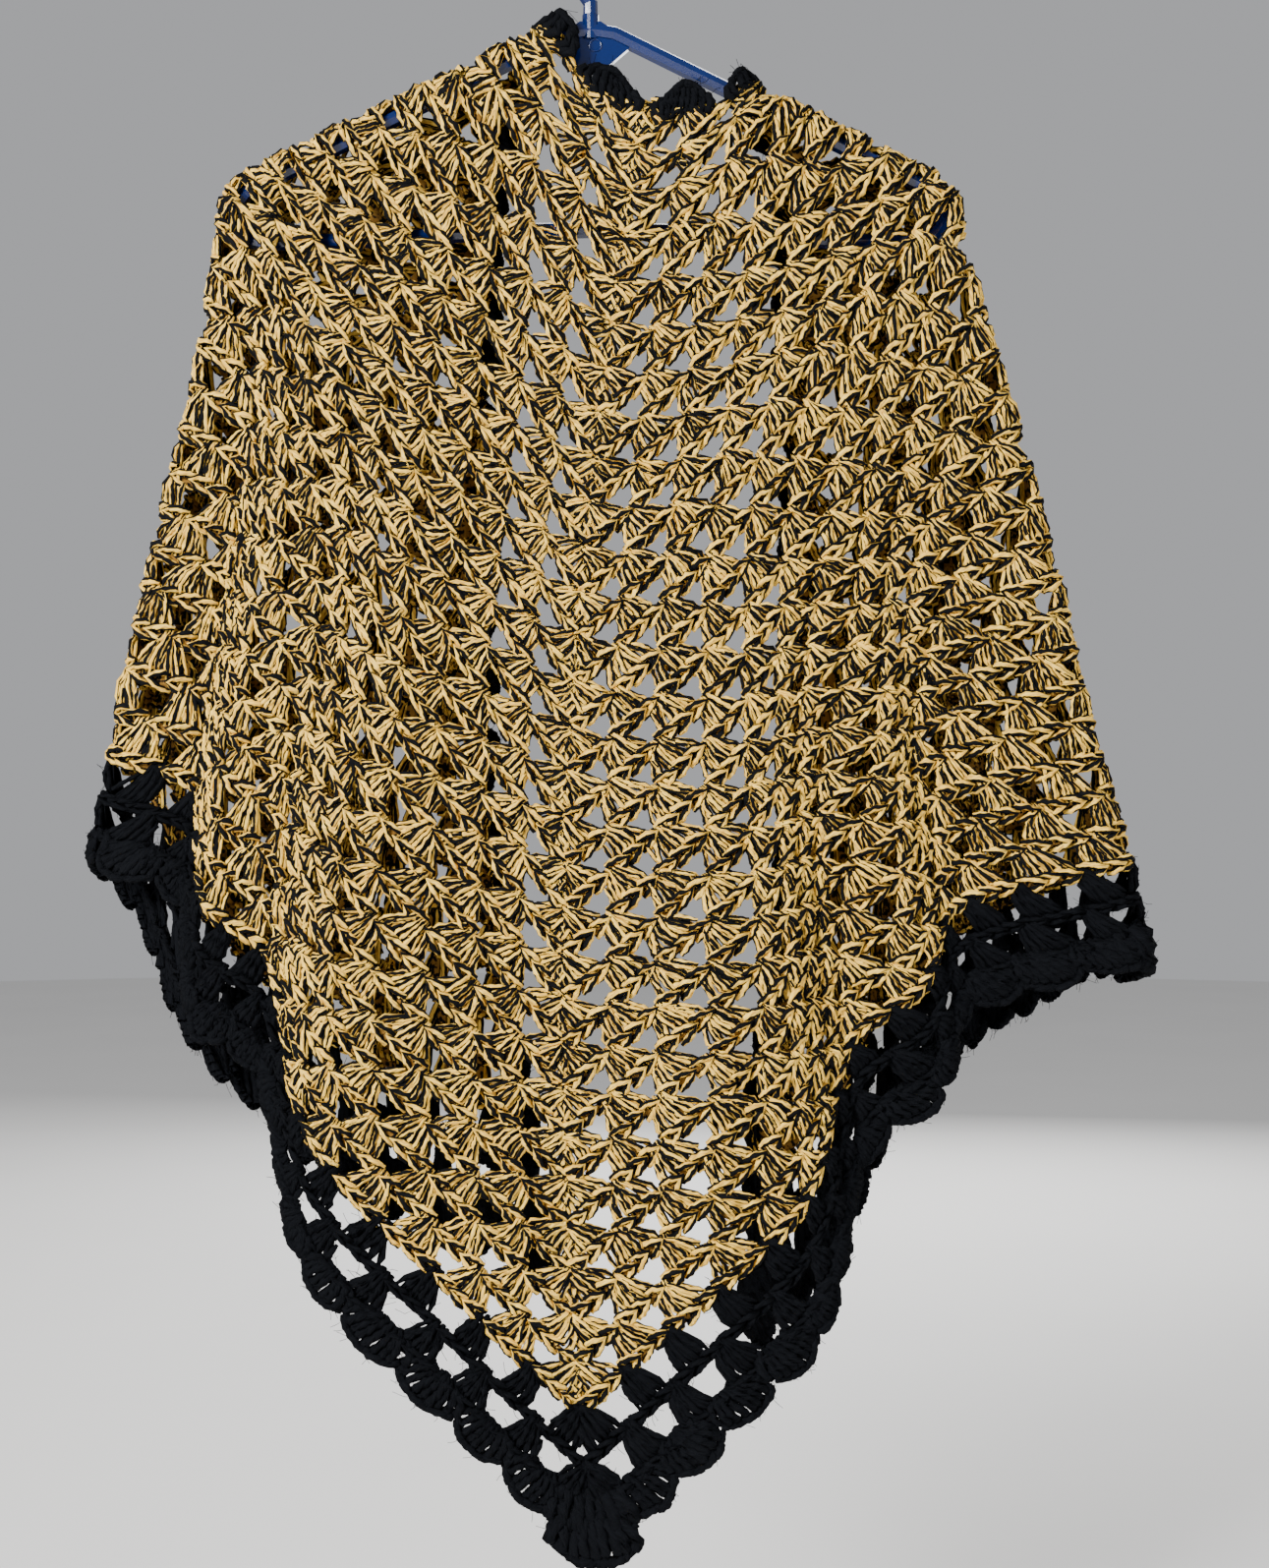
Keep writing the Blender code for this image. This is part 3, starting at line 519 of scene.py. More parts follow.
def yarn_group():
    """Outputs: Ply, one on the thin ply and nought on the thick ones; Fibre, the height of the fine fibres;
    Patch, slow changes along and between strands."""
    tree = bpy.data.node_groups.new("yarn_plies", "ShaderNodeTree")
    for name in ("Ply", "Fibre", "Patch"):
        tree.interface.new_socket(name, in_out="OUTPUT", socket_type="NodeSocketFloat")
    uv = add(tree, "ShaderNodeUVMap", uv_map="UVMap")
    along, around, _ = add(tree, "ShaderNodeSeparateXYZ", {0: uv.outputs[0]}).outputs
    tint = add(tree, "ShaderNodeAttribute", attribute_name="tint").outputs["Fac"]

    def calc(operation, *values):
        return math_node(tree, operation, *values)

    shift = calc("MULTIPLY", tint, STRAND_SHIFT)
    spot = add(tree, "ShaderNodeCombineXYZ", {0: calc("ADD", along, shift), 2: shift})
    wander = noise(tree, spot.outputs[0], 1.1, 1.0)
    swing = calc("MULTIPLY", calc("SUBTRACT", wander, 0.5), SWING)
    turned = calc("FRACT", calc("ADD", calc("MULTIPLY_ADD", along, EXTRA_TWIST, around), swing))
    half_turn = calc("FRACT", calc("MULTIPLY", turned, 2.0))
    off_groove = calc("ABSOLUTE", calc("SUBTRACT", half_turn, 0.5))
    slanted = calc("ADD", calc("MULTIPLY", around, FIBRE_TURNS), along)
    stretched = {0: calc("MULTIPLY", along, FIBRE_STRETCH), 1: slanted, 2: shift}
    fibres = noise(tree, add(tree, "ShaderNodeCombineXYZ", stretched).outputs[0], 1.0, 3.0)
    ragged = calc("MULTIPLY_ADD", fibres, 0.2, off_groove)
    slow = calc("MULTIPLY_ADD", wander, 0.5, calc("MULTIPLY", tint, 0.5))
    ply = remap(tree, ragged, PLY_EDGES, kind="SMOOTHSTEP")
    add(tree, "NodeGroupOutput", {"Ply": ply, "Fibre": fibres, "Patch": slow})
    return tree


YARN_PLIES = yarn_group()
print("node group with", len(YARN_PLIES.nodes), "nodes")

# %% [markdown]
# ### Marled yarn
# The golden plies are wool-like and matte, between ochre and cream, and the fine ply is nearly black. The
# colour is mixed from the group's outputs, painted shade darkens it a little in the fibres' valleys, and the
# same fibres drive a fine bump.

# %% The marled yarn
def new_material(name):
    made = bpy.data.materials.new(name)
    made.use_nodes = True
    return made, made.node_tree, made.node_tree.nodes["Principled BSDF"]


def object_noise(tree, scale, detail=2.0):
    return noise(tree, add(tree, "ShaderNodeTexCoord").outputs["Object"], scale, detail)


def mix_colour(tree, share, first, second):
    return add(tree, "ShaderNodeMix", {0: share, 6: first, 7: second}, data_type="RGBA").outputs[2]


def surface(tree, shader, colour, roughness, specular):
    feed(tree, shader, {"Base Color": colour, "Roughness": roughness, "Specular IOR Level": specular})


def fibre_bump(tree, shader, height, strength, distance):
    bump = add(tree, "ShaderNodeBump", {"Strength": strength, "Distance": distance, "Height": height})
    feed(tree, shader, {"Normal": bump.outputs[0]})


# OCHRE is the painted shade in the fibres' valleys; STRAW and CREAM are the golden plies' own tones
OCHRE, STRAW, CREAM = (0.50, 0.25, 0.030), (0.86, 0.52, 0.070), (0.95, 0.67, 0.135)
# SHADE is the net's dark gold, painted shade for the yarn behind the strands
SHADE = (0.20, 0.10, 0.018)
INK, SOOT = (0.0010, 0.0012, 0.0018), (0.0046, 0.0052, 0.0068)


def marled_yarn():
    made, tree, shader = new_material("marled_yarn")
    group = add(tree, "ShaderNodeGroup", node_tree=YARN_PLIES)
    ply, fibre, patch = [group.outputs[name] for name in ("Ply", "Fibre", "Patch")]
    # painted shade: where the fibres lie low, the gold turns to the darker ochre
    painted_valley_shade = remap(tree, fibre, (0.62, 0.30))
    gold = mix_colour(tree, painted_valley_shade, mix_colour(tree, patch, STRAW, CREAM), OCHRE)
    surface(tree, shader, mix_colour(tree, ply, gold, INK), 0.85, 0.12)
    fibre_bump(tree, shader, math_node(tree, "MULTIPLY_ADD", ply, -0.6, fibre), 0.8, 0.8 * MM)
    return made


def black_yarn():
    made, tree, shader = new_material("black_yarn")
    fibre = add(tree, "ShaderNodeGroup", node_tree=YARN_PLIES).outputs["Fibre"]
    surface(tree, shader, mix_colour(tree, fibre, INK, SOOT), 0.9, 0.05)
    fibre_bump(tree, shader, fibre, 1.0, 1.2 * MM)
    return made


# The net's material is painted shade: dark gold mottled with near black, standing for the yarn behind the
# strands, which lies in their shade.
def inner_yarn_painted_shade():
    made, tree, shader = new_material("marled_yarn_inside_painted_shade")
    tangle = object_noise(tree, 320.0, 1.0)
    golden = remap(tree, tangle, (0.44, 0.54), kind="SMOOTHSTEP")
    surface(tree, shader, mix_colour(tree, golden, INK, SHADE), 0.9, 0.12)
    fibre_bump(tree, shader, tangle, 0.8, 1.0 * MM)
    return made


MARLED, BLACK, INNER_PAINTED_SHADE = marled_yarn(), black_yarn(), inner_yarn_painted_shade()
print("yarns:", MARLED.name, BLACK.name, INNER_PAINTED_SHADE.name)

# %% [markdown]
# ## A group of three stitches
# Each group stands on one space of the row before: its three posts start close together, over the braid
# above, and spread to the new row's own braid. Each post is the yarn gone up, down and round, so it shows as
# three strands, with a short wrap over them. The braid along the row is a chain of small loops that point the
# same way. A group is described once in its own frame, where s runs along the row and t runs from the space
# to the new braid, and then laid on its three flat corners.

# %% Stitches in their own frame
POSTS = 3
STRANDS = 9  # three for each post, which fan out evenly
POST_T = np.array((-0.16, 0.0, 0.30, 0.64, 0.95))  # where a post's strands have their points
BULGE = np.array((0, 0, 0.46, 0.86, 1.0))  # how far the strands have spread at each of them
POST_HEIGHT = np.array((-1.6, 1.6, 1.4, 0.6, -1.0))  # mm: how far out of the cloth they are there
CROWN = 2.6 * MM  # how much higher a group's middle stands than its sides
OVER = 0.8  # mm: how far odd strands stand out, and even ones in
# How much the groups and strands vary: shares of a group, but for the last
WIDTH_VARIES, SHIFT_VARIES, SWAY_VARIES, SLANT = 0.10, 0.025, 0.035, 0.022
HEIGHT_VARIES = 0.3 * MM
WRAP_REACH = 0.7  # the wraps lie nearer the group's middle than the posts
BRAID_START, BRAID_PITCH = 0.06, 0.29  # where the loops of the braid lie in a group
HAND = np.random.default_rng(7)  # no two stitches made by hand are the same


def laid(corners_flat, s, t, out):
    """Flat points from the groups' own frames. corners_flat holds each one's apex, left end and right end."""
    apex, left, right = corners_flat[:, 0], corners_flat[:, 1], corners_flat[:, 2]
    middle = (left + right) / 2
    lean = (1 - t)[..., None] * (apex - middle)[:, None]
    base = left[:, None] + (right - left)[:, None] * s[..., None]
    return np.concatenate([base + lean, out[..., None]], axis=-1)


def uneven(count, size):
    """A small error for each group or shell, which all its points share."""
    return HAND.normal(0, size, (count, 1))


def post_strands(groups, fan, bunch, thick):
    """The posts' strands: they start close together over the braid above, where they hide it, spread as they
    go, and end at the row's own braid. Odd ones lie over even ones. fan is how far the outer ones stand from
    the group's middle at the braid, in groups, and bunch is the share of that at the start."""
    made = []
    within = np.clip(POST_T, 0, 1)
    count = len(groups)
    wide, shift = 1 + uneven(count, WIDTH_VARIES), uneven(count, SHIFT_VARIES)
    sway = uneven(count, SWAY_VARIES) * np.sin(math.pi * within)
    for strand in range(STRANDS):
        place = fan * (2 * strand / (STRANDS - 1) - 1)
        reach = bunch + (1 - bunch) * BULGE
        lean = uneven(count, SLANT) * np.cos(math.pi * within)
        s = 0.5 + place * reach * wide + shift + sway + lean + uneven(count, 0.008)
        over = (OVER if strand % 2 else -OVER) * np.sin(math.pi * within)
        crown = CROWN * math.cos(math.pi / 2 * place / fan) * np.sin(math.pi * within)
        height = (POST_HEIGHT + over) * MM + crown + uneven(count, HEIGHT_VARIES)
        made.append(laid(groups, s, POST_T + uneven(count, 0.015), height))
    paths = np.concatenate(made)
    return paths, thick * HAND.uniform(0.88, 1.12, len(paths)), LOBES


def short_strands(groups, places, t, height, varies, thick):
    """One strand for each stitch of a group. places has its points along the row, for each stitch, and varies
    says how much the points along the row, those down the group and the radius vary."""
    made = []
    count = len(groups)
    for s in places:
        s, down = s + uneven(count, varies[0]), t + uneven(count, varies[1])
        made.append(laid(groups, s, down, height * MM + uneven(count, HEIGHT_VARIES)))
    paths = np.concatenate(made)
    return paths, thick * HAND.uniform(1 - varies[2], 1 + varies[2], len(paths)), LOBES


def wrap_strands(groups, fan, thick):
    """The short strand that lies slantwise over each post."""
    reach = np.array((0.75, 0.9, 1.05, 1.2)) * fan * WRAP_REACH
    slant = np.array((-0.035, -0.01, 0.01, 0.035))
    places = [0.5 + (post - 1) * reach + slant for post in range(POSTS)]
    t, height = np.array((0.22, 0.38, 0.56, 0.74)), np.array((1.0, 3.0, 2.8, 0.6))
    return short_strands(groups, places, t, height, (0.03, 0.05, 0.1), thick)


def braid_strands(groups, spread, thick):
    """One loop for each stitch along the new row, like the loops of a braid. spread is half their width."""
    loop = np.array((-0.03, 0.08, 0.20, 0.33, 0.20, 0.08, -0.03))
    places = [BRAID_START + BRAID_PITCH * post + loop for post in range(POSTS)]
    t = 0.97 + spread * np.array((-1.0, -0.95, -0.62, 0.0, 0.62, 0.95, 1.0))
    height = np.array((-0.6, 1.9, 3.0, 2.8, 1.9, 0.5, -1.4))
    return short_strands(groups, places, t, height, (0.012, 0.02, 0.08), thick)


def stitch_strands(groups, fan, bunch, spread, radii):
    """All the strands of these groups. radii are those of the posts, the wraps and the braid."""
    return [
        post_strands(groups, fan, bunch, radii[0]),
        wrap_strands(groups, fan, radii[1]),
        braid_strands(groups, spread, radii[2]),
    ]


FIBRE = np.array((1.0, 1.0, 1.0))  # a loose fibre's section has three sides
FIBRE_RADIUS = 0.17 * MM
FIBRE_LENGTHS, FIBRE_BEND = (4.5 * MM, 10 * MM), 0.9 * MM


def loose_fibres(groups, count):
    """Short curved fibres that stand out from random places on these strands: the black yarn's fuzz."""
    starts = np.concatenate([paths[:, 1:-1].reshape(-1, 3) for paths, _, _ in groups])
    starts = starts[HAND.integers(0, len(starts), count)]
    ways = unit(HAND.normal(0, 1, (count, 3)) * (1, 1, 0.5))
    ends = starts + ways * HAND.uniform(*FIBRE_LENGTHS, (count, 1))
    middles = (starts + ends) / 2 + HAND.normal(0, FIBRE_BEND, (count, 3))
    return np.stack([starts, middles, ends], axis=1), np.full(count, FIBRE_RADIUS), FIBRE


print("a group has", POSTS, "stitches of", STRANDS // POSTS + 2, "strands")

# %% [markdown]
# ## The body's rows
# Row n has n groups on each side of the spine, which meet in a corner there and spread like a fan. The
# groups are listed row by row and sorted by where the fold takes them: on the back, or on a wing.

# %% Lay out the body's groups
GROUP_MIDDLE = 0.4  # where a group counts as lying, past its inner end and before its row's end


def body_groups(side):
    """Corners of every group on one side, and whether it lies on the wing."""
    corners_flat, on_wing = [], []
    for row in range(1, BODY_ROWS + 1):
        for i in range(row):
            spots = (flat_spot(side, i, row - 1), flat_spot(side, i, row), flat_spot(side, i + 1, row))
            corners_flat.append(spots)
            on_wing.append(i + GROUP_MIDDLE > side_column(side, row - GROUP_MIDDLE))
    return np.array(corners_flat), np.array(on_wing)


YARN_RADIUS = 2.15 * MM
# Fan, bunch, spread of the braid and radii of the body's strands
BODY_STITCH = 0.38, 0.34, 0.20, (YARN_RADIUS, 0.85 * YARN_RADIUS, 1.25 * YARN_RADIUS)


def body_piece(name, groups):
    return strand_mesh(name, stitch_strands(groups, *BODY_STITCH), MARLED)


yarn_pieces = []
for side, word in SIDES:
    groups, on_wing = body_groups(side)
    back = body_piece("stitches_back_" + word, groups[~on_wing])
    wing = body_piece("stitches_wing_" + word, groups[on_wing])
    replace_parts(back, "back_panel")
    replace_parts(wing, "wing_" + word)
    yarn_pieces += [back, wing]
    print(word, "side:", len(groups), "groups,", int(on_wing.sum()), "of them on the wing")

# %% [markdown]
# ## The black border
# Two open rows follow in black. Their stitches are pulled tight, so each group is bunched at the top and
# opens less than the body's, and wide gaps stay between the groups. Short loose fibres make the yarn fuzzy.

# %% The open rows
# Each open row's upper end, lower end and count of groups at its lower end
OPEN_ROWS = (
    (BODY_ROWS, FIRST_OPEN_END, BODY_ROWS + 1),
    (FIRST_OPEN_END, OPEN_END, BODY_ROWS + 2),
)
BORDER_STITCH = 0.29, 0.34, 0.11, (2.2 * MM, 2.0 * MM, 2.0 * MM)
HEM_FOLD = 15  # the hem's group at which it turns round the side fold
FUZZ = 32  # loose fibres on each black group or shell


def junction(index, groups, row):
    """The column of a junction between two groups, in a row end that holds this many groups."""
    return index * row / groups


def border_groups(side, first, last):
    corners_flat = []
    for upper, lower, groups in OPEN_ROWS:
        for i in range(first, min(last, groups)):
            apex = flat_spot(side, junction(i, groups - 1, upper), upper)
            left, right = [flat_spot(side, junction(j, groups, lower), lower) for j in (i, i + 1)]
            corners_flat.append((apex, left, right))
    return np.array(corners_flat)


for side, word in SIDES:
    for part, first, last in (("back", 0, HEM_FOLD), ("wing", HEM_FOLD, BODY_ROWS + 3)):
        groups = border_groups(side, first, last)
        strands = stitch_strands(groups, *BORDER_STITCH)
        strands.append(loose_fibres(strands, FUZZ * len(groups)))
        piece = strand_mesh(f"border_stitches_{part}_{word}", strands, BLACK)
        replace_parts(piece, f"border_{part}_{word}")
        yarn_pieces.append(piece)

# %% [markdown]
# ## Shells
# The last row is a shell on each space: nine long stitches that fan out from one point and stand so close
# that they make a plump, ribbed scallop. The same shells, a little smaller, edge the neckline and the two
# front edges. Each is a fan of thick strands with a rim of loops.

# %% Fan out the shells
RIBS = 9
RIM_ANGLE, RIM_POWER = math.pi / 2 * 0.94, 0.6  # the curve of a shell's rim
ROOT = 0.28  # how deep a shell's ribs start inside the row above, as a share of its depth
RIB_RADIUS, RIM_RADIUS = 3.2 * MM, 0.85 * 3.2 * MM
RIB_INSET, RIM_INSET = 3.0 * MM, 2.4 * MM  # how far inside the rim the ribs' ends and the rim's loops lie
SHELL_VARIES = 0.5 * MM
TIP_SIZE = 1.35  # the shells on the point and on the two far corners are larger
TIP_RISE = 7 * MM  # a second shell on the point lies twice this far above the first
LONG_SHELL, LONG_SIZE = (1, HEM_FOLD), 1.55  # the one that sticks out at the right side fold
EDGE_START = 1.5 * MM  # how far inside the top edge its shells start
SLOPE = math.sqrt(0.5)  # the hem runs at 45 degrees in the flat frame


def shell_strands(centres, along, outward, sizes, half_width, depth, notch, out, waist):
    """Ribs and rim loops of many shells. centres, along and outward are flat, with a row for each shell, and
    sizes has a factor for each. waist is the ribs' spread on their way out, as shares of the half width."""
    ribs, rims = [], []
    count = len(centres)
    walk = np.array((0.0, 0.22, 0.5, 0.8, 1.0))
    turn = 0.21 * np.array((-1.0, -0.45, 0.45, 1.0))

    def fan(aside, ahead, height):
        aside = (aside + uneven(count, SHELL_VARIES)) * sizes[:, None]
        ahead = (ahead + uneven(count, SHELL_VARIES)) * sizes[:, None]
        height = height * MM + out + uneven(count, SHELL_VARIES)
        flat = centres[:, None] + along[:, None] * aside[..., None] + outward[:, None] * ahead[..., None]
        return np.concatenate([flat, height[..., None]], axis=-1)

    def rim(share):
        return notch + (depth - notch) * np.cos(share * RIM_ANGLE) ** RIM_POWER

    for share in np.linspace(-1, 1, RIBS):
        aside = share * half_width * np.array(waist)
        ahead = -ROOT * depth + (rim(share) + ROOT * depth - RIB_INSET) * walk
        ribs.append(fan(aside, ahead, np.array((-1.0, 1.6, 2.8, 1.6, -1.2))))
        nearby = np.clip(share + turn, -1, 1)
        aside = nearby * half_width * waist[-1]
        rims.append(fan(aside, rim(nearby) - RIM_INSET, np.array((-0.6, 0.9, 0.9, -0.6))))
    ribs, rims = np.concatenate(ribs), np.concatenate(rims)
    stout = np.tile(sizes, RIBS)
    return [
        (ribs, RIB_RADIUS * stout * HAND.uniform(0.9, 1.15, len(ribs)), PLUMP),
        (rims, RIM_RADIUS * stout * HAND.uniform(0.9, 1.15, len(rims)), PLUMP),
    ]


def hem_shells(spots):
    """Flat centres, directions and sizes of the hem's shells. spots are pairs of a side and an index."""
    centres, along, outward, sizes = [], [], [], []
    for side, index in spots:
        centres.append(flat_spot(side, junction(index, BODY_ROWS + 2, OPEN_END), OPEN_END))
        tip = index == 0
        if tip:
            centres[-1][1] -= TIP_RISE * (1 + side)
        along.append((1.0, 0.0) if tip else (side * SLOPE, -SLOPE))
        outward.append((0.0, 1.0) if tip else (side * SLOPE, SLOPE))
        if (side, index) == LONG_SHELL:
            sizes.append(LONG_SIZE)
        else:
            sizes.append(TIP_SIZE if index in (0, BODY_ROWS + 2) else HAND.uniform(0.94, 1.08))
    return np.array(centres), np.array(along), np.array(outward), np.array(sizes)


def edge_shells(marks):
    """The same on the top edge. marks are signed distances from the middle of the neckline, in rows."""
    marks = np.array(marks)
    centres = np.stack([marks * STEP, np.full(len(marks), EDGE_START)], axis=-1)
    along = np.tile((1.0, 0.0), (len(marks), 1))
    return centres, along, np.tile((0.0, -1.0), (len(marks), 1)), HAND.uniform(0.92, 1.1, len(marks))


def shell_piece(name, layout, shell_sizes):
    strands = shell_strands(*layout, *shell_sizes)
    strands.append(loose_fibres(strands, FUZZ * len(layout[0])))
    piece = strand_mesh(name, strands, BLACK)
    yarn_pieces.append(piece)
    return piece


back_spots = [(-1, i) for i in range(HEM_FOLD, -1, -1)] + [(1, i) for i in range(HEM_FOLD)]
PETAL = (0.48, 0.74, 0.96, 1.06, 0.98)  # narrow where it starts
DOME = (0.84, 1.02, 1.08, 0.96, 0.74)  # broad where it starts, and rounded in at its end
BALL = (0.80, 1.00, 1.12, 1.04, 0.80)  # nearly round
# Half width, depth, depth where two shells meet, height over the cloth, and outline
hem_sizes = (16.5 * MM, 19 * MM, 9 * MM, 0.0, PETAL)
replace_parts(shell_piece("shell_row_back", hem_shells(back_spots), hem_sizes), "shells_back")
for side, word in SIDES:
    first = HEM_FOLD + (1 if side < 0 else 0)  # the back's row has the left fold's own shell
    spots = [(side, i) for i in range(first, BODY_ROWS + 3)]
    piece = shell_piece("shell_row_wing_" + word, hem_shells(spots), hem_sizes)
    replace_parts(piece, "shells_wing_" + word)

edge_sizes = (19.0 * MM, 17 * MM, 8 * MM, 1.3 * MM, DOME)
EDGE_SHELLS = 19  # on each half of the top edge
NECK_END = NECK_ROW + 0.2  # rows: the last shell before it lies over the arm
shell_marks = [(i + 0.5) * EDGING_PITCH for i in range(EDGE_SHELLS)]
neck_marks = [mark for mark in shell_marks if mark < NECK_END]
front_marks = [mark for mark in shell_marks if mark > NECK_END]
neck_sizes = (17.5 * MM, 19.0 * MM, 9.0 * MM, 1.3 * MM, DOME)
arm_sizes = (13.0 * MM, 14.5 * MM, 12.0 * MM, 2.4 * MM, BALL)
neck_pieces = ("shells_neck", neck_marks[:-1], neck_sizes), ("shells_over_arms", neck_marks[-1:], arm_sizes)
for name, marks, shell_sizes in neck_pieces:
    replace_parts(shell_piece(name, edge_shells([-m for m in marks] + marks), shell_sizes), "neck_edging")
for side, word in SIDES:
    piece = shell_piece("shells_front_" + word, edge_shells([side * m for m in front_marks]), edge_sizes)
    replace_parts(piece, "front_edging_" + word)

# %% [markdown]
# ## The cloth as one sheet
# Between the strands a little of the yarn behind shows. A thin net lies there, in the middle of the cloth: a
# band along each row and a patch behind each group, with the gaps left open. It is the one continuous sheet
# of the shawl.
# The net's dark colours are painted shade, for the yarn behind that lies in the shade of the strands in
# front.

# %% Weave the net behind the stitches
BAND = 0.12  # how far a row's band reaches above and below its end, in rows
SHARES = (0.14, 0.38, 0.62, 0.86)  # where a band has points, in groups: round its junctions and its middle
NET_THICKNESS = 0.6 * MM


def net_faces(upper, lower, groups):
    """One row's band, and a slim strip down to it behind each group's stitches, from the band above, as
    columns and rows. upper and lower are the row's ends, and groups is its count."""
    faces = []
    height = lower - upper
    top, bottom, below = upper + BAND * height, lower - BAND * height, lower + BAND * height
    stretch = lower / groups
    shrink = upper / (groups - 1) if groups > 1 else 1.0
    for i in range(groups):
        a, b, c, d = [(i + share) * stretch for share in SHARES]
        offsets = (SHARES[3] - 1, 0, SHARES[0])
        before, middle, after = [max((i + offset) * shrink, 0) for offset in offsets]
        faces.append(((before, top), (b, bottom), (middle, top)))
        faces.append(((middle, top), (b, bottom), (c, bottom), (after, top)))
        columns = (i * stretch, a, b, c, d, (i + 1) * stretch)
        for near, far in zip(columns, columns[1:]):
            faces.append(((near, bottom), (near, below), (far, below), (far, bottom)))
    return faces


def in_order(parts, place):
    """Sorts corners or faces by where they are, because solidify leaves them in no fixed order."""
    ranks = {part: rank for rank, part in enumerate(sorted(parts, key=lambda part: tuple(place(part))))}
    parts.sort(key=ranks.get)


def woven_net():
    ends = [(row - 1.0, float(row), row, False) for row in range(1, BODY_ROWS + 1)]
    ends += [(*open_row, True) for open_row in OPEN_ROWS]
    points, faces = {}, []  # each point of the cloth is made once
    for side in (-1, 1):
        for upper, lower, groups, black in ends:
            for spots in net_faces(upper, lower, groups):
                keys = [(round(side * float(column), 5), round(float(row), 5)) for column, row in spots]
                face = [points.setdefault(key, len(points)) for key in keys]
                if len(set(face)) > 2:
                    faces.append((face[::side], black))
    column, row = np.array(list(points)).T
    shape = bmesh.new()
    corners = [shape.verts.new(place) for place in drape(column, np.maximum(row, np.abs(column)))]
    for face, black in faces:
        shape.faces.new([corners[i] for i in face]).material_index = int(black)
    bmesh.ops.recalc_face_normals(shape, faces=shape.faces[:])
    bmesh.ops.solidify(shape, geom=shape.faces[:], thickness=NET_THICKNESS)
    in_order(shape.verts, lambda corner: corner.co)
    in_order(shape.faces, lambda face: face.calc_center_median())
    mesh = bpy.data.meshes.new("shawl_net")
    shape.to_mesh(mesh)
    shape.free()
    mesh.shade_smooth()
    return mesh


net_mesh = woven_net()
print("net:", len(net_mesh.polygons), "faces")

# %% [markdown]
# The net is the shawl's one sheet. It was worked to a right-angled triangle whose long side is the neckline
# with the two front edges, and it hangs from the hanger's frame.

net_piece = put("shawl_net", net_mesh)
net_mesh.materials.append(INNER_PAINTED_SHADE)
net_mesh.materials.append(BLACK)
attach(net_piece, "root")
CLOTH_NODES = [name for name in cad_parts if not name.startswith("hanger")]
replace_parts(net_piece, *CLOTH_NODES)

# %% [markdown]
# ## The hanger
# The hanger is a blown plastic tube in deep blue, glossy and smooth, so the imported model's own form is kept
# and only its material is made. A little unevenness in the gloss is what makes plastic look handled.

# %% Blue plastic
NAVY, BLUE = (0.0006, 0.006, 0.045), (0.0014, 0.012, 0.085)


def blue_plastic():
    made, tree, shader = new_material("blue_plastic_tube")
    smears = object_noise(tree, 24.0, 4.0)
    gloss = remap(tree, smears, (0.0, 1.0), (0.12, 0.22))
    feed(tree, shader, {"Base Color": mix_colour(tree, smears, NAVY, BLUE), "Roughness": gloss, "IOR": 1.5})
    fibre_bump(tree, shader, smears, 0.15, 0.6 * MM)
    return made


PLASTIC = blue_plastic()
for name in ("hanger_frame", "hanger_hook"):
    node = bpy.data.objects[name]
    for place in node.material_slots:
        place.material = PLASTIC
    print(name, "keeps its form, with", len(node.data.polygons), "faces")

# %% [markdown]
# The neck's web has one small round dimple, which shows as a raised ring on each face.

# %% The dimple in the neck's web
WEB_FACE, DIMPLE_X, DIMPLE_Z = 2.4 * MM, 2.8 * MM, -125.6 * MM
DIMPLE_RADIUS, RING_RADIUS = 3.4 * MM, 0.7 * MM
for side, word in ((-1, "back"), (1, "front")):
    bpy.ops.mesh.primitive_torus_add(
        major_radius=DIMPLE_RADIUS, minor_radius=RING_RADIUS, major_segments=32, minor_segments=10
    )
    ring = bpy.context.object
    ring.name = "neck_dimple_" + word
    turn = Matrix.Translation((DIMPLE_X, side * WEB_FACE, DIMPLE_Z)) @ Matrix.Rotation(math.pi / 2, 4, "X")
    ring.data.transform(turn)
    ring.data.shade_smooth()
    ring.data.materials.append(PLASTIC)
    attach(ring, "root")
    print(ring.name, "has", 2 * len(ring.data.polygons), "triangles")

# %% [markdown]
# ## Floor, light and camera
# The shawl hangs in the open over a pale floor. One wide soft light stands up on the left, as the photo's
# shadows ask for, a weaker one fills from the right, and a third keeps the far side readable. The camera
# looks straight at the back panel from a little over a metre, so the hook is cropped at the top.

# %% Set the stage
FLOOR_Z, FLOOR_RADIUS, FLOOR_TONE = -1.15, 6.0, (0.80, 0.79, 0.77)
ROOM_TONE, ROOM_STRENGTH = (0.86, 0.87, 0.90, 1), 0.48
AIM = np.array((0.0, 0.0, -0.55))  # where the lamps point
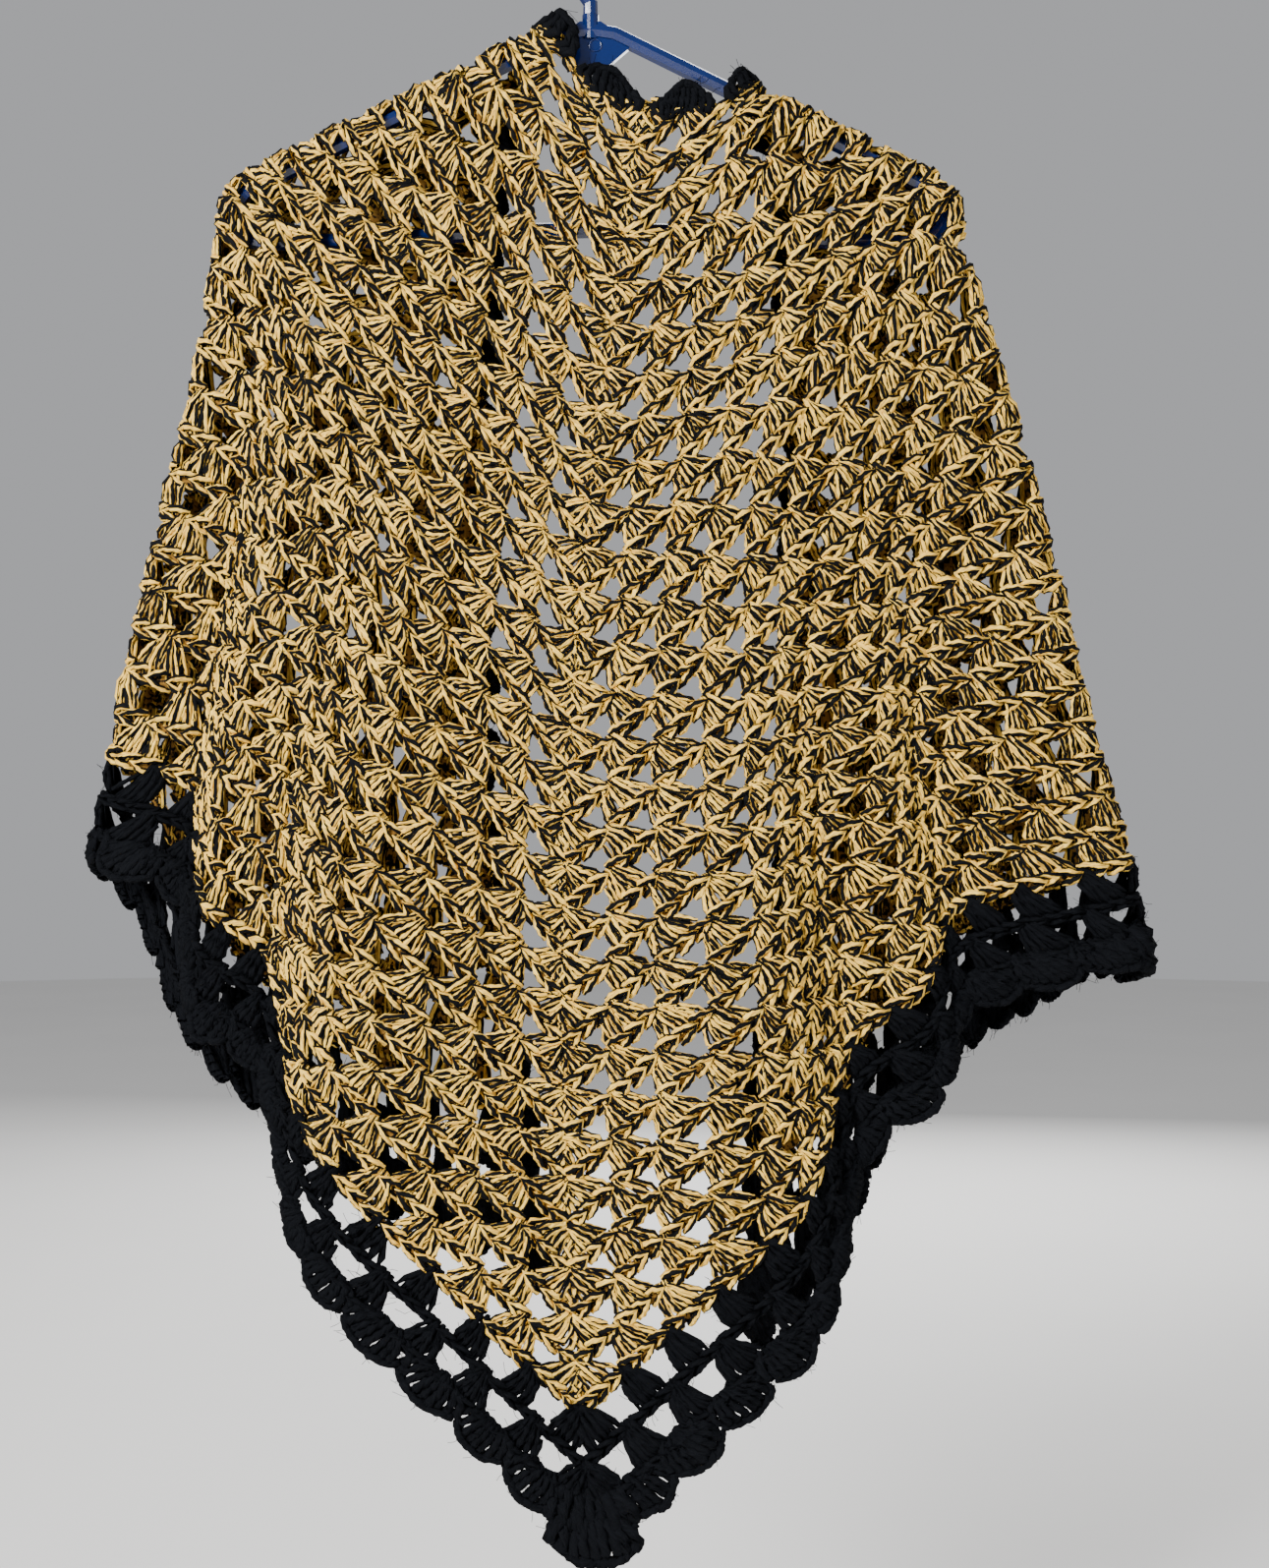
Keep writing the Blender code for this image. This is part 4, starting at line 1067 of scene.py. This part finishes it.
# Each lamp's name, place, power and width
LAMPS = (
    ("window", (-1.5, -2.0, 0.4), 170, 0.9),
    ("fill", (2.2, -1.6, -0.3), 46, 1.4),
    ("far_side", (0.4, 2.4, 0.3), 64, 1.6),
)
CAMERA_PLACE, LENS, SENSOR = (0.0253, -1.32, -0.549), 52.8, 36.0  # place in m, lens and sensor in mm


def pale(name, tone):
    made, tree, shader = new_material(name)
    darker = tuple(0.94 * part for part in tone)
    mottled = mix_colour(tree, object_noise(tree, 3.0), darker, tone)
    feed(tree, shader, {"Base Color": mottled, "Roughness": 0.9})
    return made


bpy.ops.mesh.primitive_circle_add(
    vertices=96, radius=FLOOR_RADIUS, fill_type="NGON", location=(0, 0, FLOOR_Z)
)
floor = bpy.context.object
floor.name = "floor"
floor.data.materials.append(pale("pale_floor", FLOOR_TONE))
floor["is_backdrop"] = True

world = bpy.data.worlds.new("soft_room")
world.use_nodes = True
room = world.node_tree.nodes["Background"]
room.inputs["Color"].default_value = ROOM_TONE
room.inputs["Strength"].default_value = ROOM_STRENGTH
bpy.context.scene.world = world

for name, place, power, width in LAMPS:
    light = bpy.data.lights.new(name, "AREA")
    light.energy, light.size = power, width
    lamp = put(name, light)
    lamp.location = place
    aim = AIM - np.array(place)
    tilt, heading = math.atan2(math.hypot(aim[0], aim[1]), -aim[2]), math.atan2(-aim[0], aim[1])
    lamp.rotation_euler = (tilt, 0, heading)

lens = bpy.data.cameras.new("camera")
lens.lens, lens.sensor_width = LENS, SENSOR
camera = put("camera", lens)
camera.location = CAMERA_PLACE
camera.rotation_euler = (math.radians(90), 0, 0)
bpy.context.scene.camera = camera
print("camera at", CAMERA_PLACE, "with", len(LAMPS), "soft lights")

# %% [markdown]
# ## How it compares
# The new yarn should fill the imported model's box and reach no more than a centimetre past it. The growth is
# printed, and both boxes are kept.

# %% Compare the sizes
scene_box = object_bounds()
for axis in range(3):
    low, high = [round(1000 * (scene_box[end][axis] - cad_box[end][axis]), 1) for end in (0, 1)]
    print("XYZ"[axis], "grows by", -low, "mm below and", high, "mm above")
